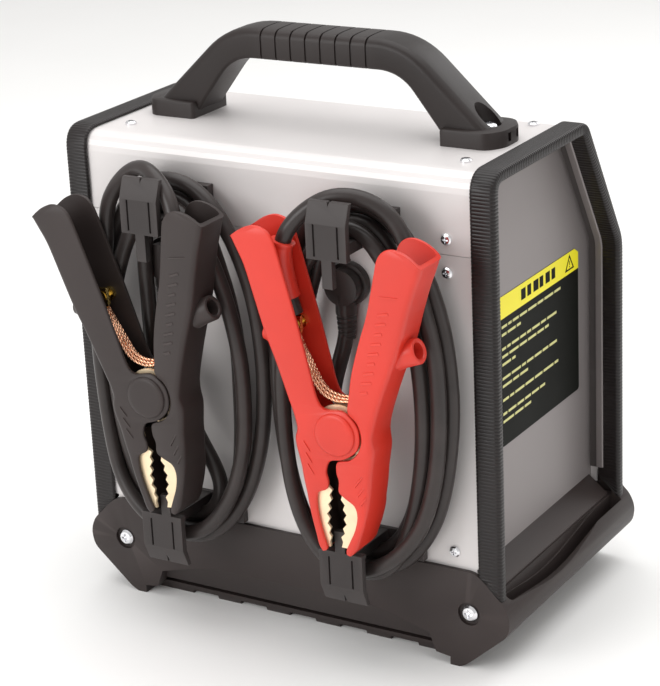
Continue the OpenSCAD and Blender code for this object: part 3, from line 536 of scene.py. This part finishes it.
def cut_or_join(obj, other, how):
    """Union or difference of two closed meshes; the second one is used up."""
    clean(obj)
    clean(other)
    mod = obj.modifiers.new(how, "BOOLEAN")
    mod.operation, mod.object, mod.solver = how, other, "EXACT"
    bpy.context.view_layer.update()
    done = bpy.data.meshes.new_from_object(obj.evaluated_get(bpy.context.evaluated_depsgraph_get()))
    obj.modifiers.remove(mod)
    obj.data = done
    bpy.data.objects.remove(other)


grip = add_mesh("carry_handle_grip", *handle())
FOOT = [(99, -22.5), (135, -22.5), (143, -10), (143, 10), (135, 22.5), (99, 22.5)]
for side in (-1, 1):
    foot = rounded([(side * x, HANDLE_Y + y) for x, y in FOOT], [3, 6, 5, 5, 6, 3])
    cut_or_join(grip, add_mesh("foot", *slab(foot, FOOT_BASE, FOOT_TOP, 2.0)), "UNION")
for side in (-1, 1):
    for name, low, r, n in (("pocket", FOOT_TOP - 5, 9, 40), ("bolt_hole", 340, 3.2, 24)):
        cut_or_join(grip, add_mesh(name, *cylinder(side * BOLT_X, HANDLE_Y, low, 420, r, n)), "DIFFERENCE")
    for y in (-2, 10):
        notch = block(side * 140.5, side * 146, y - 2, y + 2, FOOT_BASE + 3, FOOT_BASE + 9)
        cut_or_join(grip, add_mesh("notch", *notch), "DIFFERENCE")
place(grip, "pack", "handle_black", smooth=32)
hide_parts("carry_handle")


def bolts():
    """Two domed bolts with a cross recess, in the pockets of the handle's feet."""
    rim_r, recess_r, n = 2.6, 2.4, 36
    rows = [(3.0, 345.0), (3.0, 360.8), (8.2, 360.8), (8.2, 362.0), (6.9, 362.2), (6.6, 364.2), (5.4, 365.8),
            (3.2, 366.7), (rim_r, 366.8), (recess_r, 364.6), (0.02, 364.2)]
    parts = []
    for side in (-1, 1):
        verts = []
        for r, z in rows:
            for k, (x, y) in enumerate(circle(r, n)):
                inner = 0.55 if r in (rim_r, recess_r) and k % 9 not in (0, 1, 8) else 1
                verts.append((side * BOLT_X + x * inner, HANDLE_Y + y * inner, z))
        parts.append((verts, skin(len(rows), n)))
    v, f, _ = join(parts)
    return add_mesh("handle_foot_bolts", v, f)


bolt_pair = place(clean(bolts()), "pack", "screw_steel", smooth=40)
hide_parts("handle_bolts")


# ---------------------------------------------------------------- label in the side recess, marks without words
YELLOW, BLACK, PALE = 0, 1, 2


def bar(y0, y1, z0, z1, x0, x1, colour):
    return prism_x([(y0, z0), (y1, z0), (y1, z1), (y0, z1)], x0, x1) + (colour,)


def label():
    sheet = rounded([(-26, 145), (98, 145), (98, 250), (92, 254), (-26, 254)], [3, 3, 0, 0, 3], 3)
    band = [(-26, 238), (98, 238), (98, 250), (92, 254), (-26, 254)]
    parts = [prism_x([tuple(p) for p in sheet], 145.0, 145.30) + (BLACK,),
             prism_x(band, 145.1, 145.38) + (YELLOW,)]
    # Dark blocks where a heading would be
    for k, wide in enumerate((7, 6, 8, 6, 7, 6)):
        y = 6 + k * 9.6
        parts.append(bar(y, y + wide, 242.3, 250.2, 145.2, 145.44, BLACK))
    # Warning triangle outline with a stroke inside
    parts.append(prism_x([(76, 240.6), (91, 240.6), (83.5, 252.4)], 145.2, 145.44) + (BLACK,))
    parts.append(prism_x([(78.6, 241.9), (88.4, 241.9), (83.5, 249.8)], 145.3, 145.48) + (YELLOW,))
    parts.append(bar(83.0, 84.0, 244.4, 247.6, 145.35, 145.5, BLACK))
    parts.append(bar(83.0, 84.0, 242.7, 243.7, 145.35, 145.5, BLACK))
    # Broken lines in five groups, as the widths of their dashes
    runs = [((8, 5, 9, 11, 13, 9, 14, 10), (7, 12, 6)),
            ((6, 5, 11, 9, 6, 12, 8, 15), (9, 14, 11, 13, 10, 6), (13, 5)),
            ((12, 14, 6, 10, 11, 9, 12), (14, 9, 12)), ((9, 6, 14, 13, 12, 16, 6),),
            ((6, 12, 10, 9, 11, 8), (16, 13, 10))]
    z = 232.0
    for lines in runs:
        for dashes in lines:
            y = -24.0
            for w in dashes:
                if y + w < 97:
                    parts.append(bar(y, y + w, z - 0.95, z + 0.95, 145.2, 145.42, PALE))
                y += w + 1.9
            z -= 5.6
        z -= 4.6
    return join(parts)


v, f, which_mat = label()
caution = add_mesh("caution_marks", v, f)
place(caution, "pack", "label_yellow", ["label_yellow", "label_black", "label_pale"], smooth=0)
for poly, index in zip(caution.data.polygons, which_mat):
    poly.material_index = index
clean(caution)
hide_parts("caution_plate")

# ---------------------------------------------------------------- clamps and cord hooks
# Pivot of each clamp, and how far the whole clamp is tilted about it
PIVOT = {"red": (80, -124, 186, 0), "black": (-71, -124, 188, 6)}


def on_clamp(which, p):
    """A point given about a clamp's pivot, in the row frame."""
    x0, y0, z0, tilt = PIVOT[which]
    c, s = math.cos(math.radians(tilt)), math.sin(math.radians(tilt))
    return Vector((x0 + p[0] * c - p[2] * s, y0 + p[1], z0 + p[0] * s + p[2] * c))


def stations(pairs, steps=4):
    """Pairs of outer and inner edge points, smoothed along the handle."""
    edges = [[Vector(pair[j]) for pair in pairs] for j in range(2)]
    out = [[spline(edge, i, k / steps) for edge in edges] for i in range(len(pairs) - 1) for k in range(steps)]
    return out + [[edge[-1] for edge in edges]]


WALL_OUT, WALL_IN = 15.0, 12.4


def channel_row(outer, inner):
    """Moulded U section from an outer edge to an inner free edge, walls in front and behind."""
    along = inner - outer
    span = along.length
    along = along / max(span, 1e-6)
    r = min(4.2, span * 0.45)
    web = min(3.0, span * 0.55)
    ri = min(2.2, max(0.1, (span - web) * 0.5))
    lip = min(1.0, span * 0.1)
    half = [(span - lip * 0.3, WALL_OUT - 0.35), (span - lip, WALL_OUT), (r, WALL_OUT)]
    for a in (22, 45, 68):
        c, s = math.cos(math.radians(a)), math.sin(math.radians(a))
        half.append((r - r * s, WALL_OUT - r + r * c))
    half.append((0, WALL_OUT - r))
    path = [(u, -y) for u, y in half] + [(u, y) for u, y in reversed(half)]
    tail = [(span, WALL_OUT - 0.9), (span, WALL_IN + 0.5), (span - lip * 0.4, WALL_IN), (web + ri, WALL_IN),
            (web + ri * 0.3, WALL_IN - ri * 0.3), (web, WALL_IN - ri)]
    path += tail + [(u, -y) for u, y in reversed(tail)]
    return [(outer.x + along.x * u, y, outer.y + along.y * u) for u, y in path]


def loft(rows):
    return [v for row in rows for v in row], skin(len(rows), len(rows[0]))


LEFT_PAIRS = [((-75, 127), (-69, 131.5)), ((-75, 127), (-63, 135)), ((-75, 127), (-55, 137)),
              ((-75, 127), (-47, 135)), ((-74.3, 126), (-42.5, 130.5)), ((-71.5, 120.5), (-39.5, 123)),
              ((-66, 109), (-35.5, 109)), ((-60.5, 91), (-30.5, 91)), ((-55.5, 74), (-25.6, 73)),
              ((-51, 60), (-21.6, 57)), ((-45.5, 46), (-18, 42)), ((-39, 27), (-13.6, 24)),
              ((-36, 18), (-8, 16.6)), ((-33, 9), (6, 17)), ((-31.3, 2), (15.5, 9.5)), ((-31, -2), (18, 0)),
              ((-32.6, -8), (15.5, -9.5)), ((-32, -14), (6, -17)), ((-30.5, -20), (-5, -20)),
              ((-29, -27), (-8.6, -28)), ((-28, -34), (-7.2, -35.5)), ((-27, -40), (-9, -41)),
              ((-26, -45), (-15.5, -44.5)), ((-24.6, -52), (-17, -52)), ((-22.4, -63), (-16, -63)),
              ((-19.6, -75), (-13.2, -75)), ((-18, -83), (-10.6, -83)), ((-14.5, -87), (-11, -85.6))]
RIGHT_PAIRS = [((68, 122), (62, 127.5)), ((68, 122), (56, 131)), ((68, 122), (48, 133)),
               ((68, 122), (41, 131)), ((67.3, 120.6), (36.3, 125)), ((64.6, 113), (33.9, 115.5)),
               ((61, 104), (31.5, 105)), ((55.2, 86), (27, 86)), ((49, 65), (20, 65)),
               ((40.3, 43), (14, 44)), ((35, 29), (11.3, 28)), ((31.5, 19), (10, 17)),
               ((29, 11), (16.5, 10.6)), ((26.4, 0), (19.6, 0)), ((27.6, -8), (16.8, -10)),
               ((27.4, -13), (10, -16.9)), ((26.4, -19), (0.5, -19.8)), ((25, -27), (-0.8, -27)),
               ((24.4, -33), (0.8, -33.5)), ((23.4, -40), (0.4, -41)), ((22.6, -45), (5, -45)),
               ((21.9, -49), (12, -49.5)), ((20.4, -57), (14, -57)), ((17.6, -67), (11.8, -67)),
               ((14.4, -76), (7.6, -76)), ((12, -82), (4.6, -82.5)), ((7.6, -87), (4.6, -85.6))]
LEFT_TEETH = [(-6, -42), (-8.4, -46), (-6.8, -49), (-9.8, -53), (-8.0, -56), (-11, -60), (-8.8, -63),
              (-11, -67), (-8.4, -70), (-10, -74), (-8.2, -76.5), (-9.6, -80), (-9.2, -84)]
RIGHT_TEETH = [(-2, -42.5), (0, -46), (-1, -49), (1.8, -52.5), (0.2, -56), (2.8, -59.5), (0.6, -63),
               (2.6, -66.5), (-0.4, -70), (0.9, -73.5), (-2, -76.5), (-0.8, -80), (-2, -84)]


def ring_boss(centre, angle, depth, length):
    """Round boss with a hole, standing out of the side of a handle."""
    profile = [(5.6, depth), (5.6, length - 0.8), (6.4, length), (8.0, length), (8.8, length - 0.9), (9, 1),
               (9.6, depth)]
    axis = Vector((math.sin(math.radians(angle)), 0, math.cos(math.radians(angle))))
    side, lift = Vector((0, 1, 0)), axis.cross(Vector((0, 1, 0)))
    base, n = Vector((centre[0], 0, centre[1])), 40
    verts = [tuple(base + axis * h + side * a + lift * b) for r, h in profile for a, b in circle(r, n)]
    last = (len(profile) - 1) * n
    return verts, walls(len(profile), n) + [
        (last + k, last + (k + 1) % n, (k + 1) % n, k) for k in range(n)]


def disc(r, y0, y1):
    return prism_y(circle(r, 56), y0, y1)


def ridge(x, z, tilt, long, wide, lift=0.55):
    """Raised bar on the front wall where a rating would be moulded."""
    c, s = math.cos(math.radians(tilt)), math.sin(math.radians(tilt))
    low = [(x + a * c - b * s, z + a * s + b * c) for a, b in
           ((-long / 2, -wide / 2), (long / 2, -wide / 2), (long / 2, wide / 2), (-long / 2, wide / 2))]
    top = [(x + (p - x) * 0.86, z + (q - z) * 0.7) for p, q in low]
    verts = [(p, -WALL_OUT + 0.3, q) for p, q in low] + [(p, -WALL_OUT - lift, q) for p, q in top]
    return verts, [(0, 1, 2, 3), (7, 6, 5, 4)] + [(k, 4 + k, 4 + (k + 1) % 4, (k + 1) % 4) for k in range(4)]


def clamp_piece(which, name, parts, body, slot, node, mats=None, smooth=40):
    """Piece drawn about a clamp's pivot, set in its place."""
    v, f, index = join(parts)
    obj = add_mesh("%s_%s" % (which, name), [on_clamp(which, p) for p in v], f)
    obj.data.polygons.foreach_set("material_index", index)
    place(clean(obj, 0.00001, 0.000005), body, slot, mats, smooth)
    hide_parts(node)
    return obj


def round_edges(obj, width, segments, angle):
    mod = obj.modifiers.new("round", "BEVEL")
    mod.width, mod.segments = width * MM, segments
    mod.limit_method, mod.angle_limit = "ANGLE", math.radians(angle)
    mod.harden_normals = True


def jaw(teeth, outer, disc_r, y_out, y_in, web):
    """Two toothed plates and the bent web that joins them: the near plate and both discs brass, the far plate
    and the web painted dark as shade.
    """
    parts = []
    for s in (-1, 1):
        a, b = sorted((s * y_out, s * y_in))
        # Near plate brass, far plate painted dark as shade
        parts.append(prism_y(outer + teeth[::-1], a, b) + (0 if s < 0 else 1,))
        parts.append(disc(disc_r, a, b) + (0,))
    strip = outer[web[0]:web[1]]
    inset = [(x + (1.8 if x < 0 else -1.8), z + 0.2) for x, z in strip]
    # The web is painted dark as shade too
    parts.append(prism_y(strip + inset[::-1], -y_in - 0.1, y_in + 0.1) + (1,))
    return parts


OUTER_LEFT = [(-10.5, -38), (-10.5, -4), (-14, -4), (-16, -28), (-18, -42), (-18.6, -51), (-18, -63),
              (-15.6, -75), (-12.6, -84)]
OUTER_RIGHT = [(2, -39), (2, -4), (12, -4), (12, -28), (14, -40), (15.6, -49), (15.8, -58), (13.4, -68),
               (9, -77), (3.4, -84)]
# Brass, and the near-black painted shade for the far plate and web
JAW_BRASS_AND_SHADE = ["jaw_brass", "jaw_painted_shade"]


def clamp_pin(which):
    """Pin with a soft round cap at each end."""
    dome = [(0.0, 18.0), (6, 17.95), (11.5, 17.8), (13.6, 17.5), (14.7, 16.8), (15, 15.9), (15, 15.05),
            (4, 15.05), (4, 0)]
    rows = [(r, -y) for r, y in dome] + [(r, y) for r, y in dome[::-1]]
    n = 56
    verts = [(a, y, b) for r, y in rows for a, b in circle(max(r, 0.01), n)]
    return clamp_piece(which, "pin", [(verts, walls(len(rows), n))], "pack", "grip_" + which, which + "_pivot",
                       smooth=45)


SHELLS = {}
for which, left_body, right_body, left_part, right_part in (
        ("red", "pack", "red_clamp_arm", "fixed", "moving"),
        ("black", "black_clamp_arm", "pack", "moving", "fixed")):
    finish = "grip_" + which
    left = [loft([channel_row(o, i) for o, i in stations(LEFT_PAIRS)]), ring_boss((-49, 60), -70, -4, 8)]
    right_half = [loft([channel_row(o, i) for o, i in stations(RIGHT_PAIRS)]), ring_boss((45, 58), 70, -4, 13)]
    # Plain bars in place of the moulded rating, a line above them and ribs below on both halves
    for k in range(9):
        right_half.append(ridge(23.4 + 2.05 * k, 33 + 7.0 * k, 15, 9 if k % 3 else 6.5, 2.2))
    right_half.append(ridge(44.2, 101, 3, 15, 0.9))
    for k in range(3):
        right_half.append(ridge(16.5 + k * 1.4, -31 - 7 * k, 58, 12 - 2 * k, 0.9))
        left.append(ridge(-22.5 + k * 1.2, -12 - 8 * k, -60, 10, 0.9))
    left_jaw = jaw(LEFT_TEETH, OUTER_LEFT, 13, 12, 10, (3, 9))
    right_jaw = jaw(RIGHT_TEETH, OUTER_RIGHT, 18.8, 9.7, 7.7, (3, 10))
    SHELLS[which] = [
        clamp_piece(which, "grip_left", left, left_body, finish, "%s_%s_grip" % (which, left_part), smooth=42),
        clamp_piece(which, "grip_right", right_half, right_body, finish, "%s_%s_grip" % (which, right_part),
                    smooth=42),
        clamp_piece(which, "jaw_left", left_jaw, left_body, "jaw_brass", "%s_%s_jaw" % (which, left_part),
                    JAW_BRASS_AND_SHADE, 30),
        clamp_piece(which, "jaw_right", right_jaw, right_body, "jaw_brass", "%s_%s_jaw" % (which, right_part),
                    JAW_BRASS_AND_SHADE, 30),
        clamp_pin(which),
    ]


def shift(part, dx):
    return [(x + dx, y, z) for x, y, z in part[0]], part[1]


PLATE_Y, CASE_Y = -130, -76.7  # front of a hook's plate, and the case face its arm ends in


def hook(name, x, upper, tab_x=0.0):
    """Cord hook: a slotted plate with a bent end and a tab, an arm, and a foot on the case."""
    half = 15.2 if upper else 16.8
    if upper:
        side = [(PLATE_Y, 303), (PLATE_Y, 326.5), (PLATE_Y + 5.6, 340.6), (PLATE_Y + 9.3, 340.6),
                (PLATE_Y + 5, 327), (PLATE_Y + 5, 303)]
        nick = [(-1.0, 341.5), (1.0, 341.5), (0, 338)]
        slots = (304, 326)
        extras = [block(tab_x - 4, tab_x + 4, PLATE_Y, PLATE_Y + 5, 283, 304),
                  block(-half, half, PLATE_Y, PLATE_Y + 6, 302.2, 304.4),
                  block(-9, 9, PLATE_Y + 4, CASE_Y, 303, 311),
                  block(-26, 26, -79.7, CASE_Y, 302, 327),
                  block(-26, 26, -83.7, CASE_Y, 317, 327)]
    else:
        side = [(PLATE_Y, 94), (PLATE_Y, 69.5), (PLATE_Y + 5.6, 56.4), (PLATE_Y + 9.3, 56.4), (PLATE_Y + 5, 69),
                (PLATE_Y + 5, 94)]
        nick = [(-1.2, 55.5), (1.2, 55.5), (0, 62)]
        slots = (70, 91)
        extras = [block(tab_x - 4, tab_x + 4, PLATE_Y, PLATE_Y + 5, 93, 111),
                  block(-half, half, PLATE_Y, PLATE_Y + 6.2, 92.4, 95.4),
                  block(-9, 9, PLATE_Y + 4, CASE_Y, 86, 94),
                  block(-38, 38, -79.7, CASE_Y, 76, 95),
                  block(-38, 38, -82.7, CASE_Y, 76, 88)]
    plate = add_mesh(name, *shift(prism_x(side, -half, half), x))
    for s in (-1, 1):
        slot = block(s * 9 - 0.6, s * 9 + 0.6, PLATE_Y - 1, PLATE_Y + 1.6, *slots)
        cut_or_join(plate, add_mesh("slot", *shift(slot, x)), "DIFFERENCE")
    cut_or_join(plate, add_mesh("nick", *shift(prism_y(nick, PLATE_Y - 3, PLATE_Y + 14), x)), "DIFFERENCE")
    for extra in extras:
        cut_or_join(plate, add_mesh("extra", *shift(extra, x)), "UNION")
    clean(plate, 0.00001, flat=1, outward=False)
    place(plate, "pack", "hook_black", smooth=30)
    round_edges(plate, 0.45, 2, 32)
    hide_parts(name.replace("cord_", ""))


HOOK_X = {"red": 74, "black": -73}
hook("cord_hook_upper_red", HOOK_X["red"], True)
hook("cord_hook_lower_red", HOOK_X["red"], False)
hook("cord_hook_upper_black", HOOK_X["black"], True)
hook("cord_hook_lower_black", HOOK_X["black"], False, 4.4)


# ---------------------------------------------------------------- leads, wound over their hooks
BACK, FRONT, OUTER = -90.7, -101.8, -112.8  # the layers that the turns lie in
# Three turns and a rising run for the red lead, from its hook's middle: x, y, z
WINDING = [(-24.5, BACK, 96), (-19, BACK, 87), (-11.5, BACK, 82), (-2, BACK, 80), (10, BACK, 81),
           (24, BACK, 92), (36, BACK, 115), (43.5, BACK, 145), (47.5, BACK, 180), (47.5, BACK, 215),
           (43, BACK, 248), (34.5, BACK, 277), (25.5, BACK, 301), (13.5, BACK, 315), (0, BACK, 319.5),
           (-13.5, BACK, 315), (-25.5, BACK, 301), (-34.5, BACK, 277), (-43, BACK, 248), (-47.5, BACK, 215),
           (-47.5, BACK, 180), (-46.5, BACK, 150), (-43, BACK, 122), (-37.5, BACK, 101), (-27, BACK, 83),
           (-14, BACK, 72.5), (0, BACK, 69.3), (13, BACK, 70), (28, BACK, 78), (43, BACK, 95),
           (55, BACK, 118), (63, BACK, 150), (67.3, BACK, 185), (67.3, BACK, 215), (63.5, BACK, 248),
           (55, BACK, 278), (42.5, BACK, 303), (29, BACK, 320), (14, BACK, 329), (0, BACK, 331.5),
           (-14, BACK, 329), (-29, BACK, 320), (-42.5, BACK, 303), (-55, BACK, 278), (-63.5, BACK, 248),
           (-67.3, BACK, 215), (-67.3, BACK, 185), (-64, -92, 150), (-56, -95, 118), (-44, -98, 94),
           (-28, -100.5, 77), (-13, FRONT, 70), (0, FRONT, 69), (13, FRONT, 70.5), (25, FRONT, 79),
           (36, FRONT, 100), (45, FRONT, 130), (50.5, FRONT, 165), (51.5, FRONT, 205), (47, FRONT, 245),
           (37, FRONT, 276), (25, FRONT, 299), (13, FRONT, 313.5), (0, FRONT, 317.5), (-13, FRONT, 314),
           (-26, FRONT, 300), (-39, FRONT, 277), (-49, FRONT, 248), (-56, FRONT, 215), (-57.5, FRONT, 185),
           (-56, -102.5, 150), (-49, -106, 118), (-37, -109.5, 94), (-22, -112, 79.5), (-8, OUTER, 75),
           (6, OUTER, 75.5), (20, OUTER, 81), (36, -112, 93), (50, -108, 112), (58, -104, 138),
           (62.5, -102, 170), (64, FRONT, 205), (61.5, -101.5, 240)]
RUN_OUT = {
    "red": [(60, -84.7, 251), (60, -84.7, 236), (56.5, -88, 220), (52, BACK, 202), (48.5, BACK, 180),
            (47, BACK, 155), (46.5, BACK, 130), (47, BACK, 112), (47, BACK, 103)],
    "black": [(-87, -84.7, 251), (-87, -84.7, 236), (-84, -88, 215), (-81, BACK, 195), (-75, BACK, 170),
              (-65, BACK, 145), (-53, BACK, 125), (-47, BACK, 112), (-46, BACK, 103)],
}
RUN_IN = {
    "red": [(127, -101, 272), (122, -101, 290), (119.5, -101, 302), (116.5, -101, 313), (109.5, -100.5, 325),
            (95, -103, 337), (78, -109, 341.5), (64, -113, 339), (51, -118, 330), (40, -122, 318),
            (35, -124, 304), (35.5, -122.5, 288), (38.5, -121, 272), (42, -120, 259)],
    "black": [(-126, -101, 272), (-123, -101, 290), (-122, -101, 302), (-119.5, -101, 313), (-112, -100.5, 325),
              (-102, -101, 335), (-92, -102.5, 341), (-79, -108, 342.5), (-67, -114.5, 338),
              (-57, -117.5, 331), (-50.5, -122.5, 321), (-46.5, -124.5, 309), (-43.5, -124, 296),
              (-41.5, -124, 283), (-42.5, -121, 264)],
}
LEAD_R, LEAD_STEP = 5.5, 4.0


def braid(which):
    """Five bundles of twisted copper wire between the halves of a clamp."""
    parts = []
    for k in range(5):
        off = (k - 2) * 2.1
        sag = abs(k - 2) * 0.9
        pts = [(-37, 5 + off * 0.35, 58), (-31.5, 4 + off * 0.7, 47.5 - sag), (-25, 2 + off, 36.5 - sag),
               (-18, off, 28.5 - sag * 1.5), (-9, off - 1, 24 - sag * 1.6), (0, off - 1, 22.5 - sag * 1.4),
               (8, off, 23 - sag), (15, 1 + off * 0.8, 26 - sag * 0.6)]
        core = curve_through([on_clamp(which, p) for p in pts], 1.0)
        for w in range(3):
            wire, ref = [], Vector((0, 1, 0))
            for i, p in enumerate(core):
                t = heading(core, i)
                ref = (ref - t * ref.dot(t)).normalized()
                a = 2 * math.pi * (w / 3 + i / 9 + k * 0.17)
                wire.append(p + (ref * math.cos(a) + t.cross(ref) * math.sin(a)) * 0.62)
            parts.append(tube(wire, 0.66, 6, Vector((0, 1, 0))))
    v, f, _ = join(parts)
    return add_mesh(which + "_braid_wires", v, f)


for which, flip, end_bodies in (
        ("red", 1, ("pack", "red_clamp_arm")), ("black", -1, ("black_clamp_arm", "pack"))):
    wires = place(braid(which), None, "copper_braid", smooth=60)
    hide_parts(which + "_braid")
    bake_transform(wires)

    wound = [(HOOK_X[which] + flip * x, y, z) for x, y, z in WINDING]
    if which == "black":  # its innermost rise hangs closer to the hook
        near = [(33, BACK, 112), (30, BACK, 145), (26, -92, 180), (23, -94.5, 215), (22.5, -95.5, 248),
                (23, -95, 277), (20, -92.5, 300)]
        wound[6:13] = [(HOOK_X[which] - x, y, z) for x, y, z in near]
    route = curve_through(RUN_OUT[which] + wound + RUN_IN[which], LEAD_STEP)
    route = spaced(relax(route, 8), LEAD_STEP)
    lead = place(add_mesh(which + "_lead", *tube(route, LEAD_R, 20)), "pack", "lead_rubber", smooth=60)
    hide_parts(*["lead_%s_%s" % (part, which) for part in ("start", "coil", "end")])
    pieces = [nodes[which + "_spring"], nodes[which + "_lug_bolt"], wires] + SHELLS[which]
    if which == "black":
        pieces.append(nodes["black_lead_lug"])

    # Sleeve moulded into the handle where the lead goes in
    inside = [p for p in route[-22:] if p.z < (312 if which == "red" else 316)][:-3]
    sleeve = tube(spaced(inside, 1.5), lambda f: 7.7 + (0.9 if f < 0.05 else 0) - 0.5 * f, 28,
                  Vector((0, 1, 0)))
    place(add_mesh(which + "_lead_sleeve", *sleeve), "pack", "grip_" + which, smooth=50)

    # Tapered boot with bending grooves where the lead leaves its gland
    x0, y0, z0 = RUN_OUT[which][0]
    boot_line = [Vector((x0, y0, z0 + 0.5 - 0.5 * i)) for i in range(38)]
    boot = tube(boot_line,
                lambda f: 7.0 - 1.1 * f - (0.55 if int(f * 37) % 7 in (4, 5, 6) and f < 0.92 else 0), 28)
    place(add_mesh(which + "_lead_boot", *boot), "pack", "lead_rubber", smooth=30)
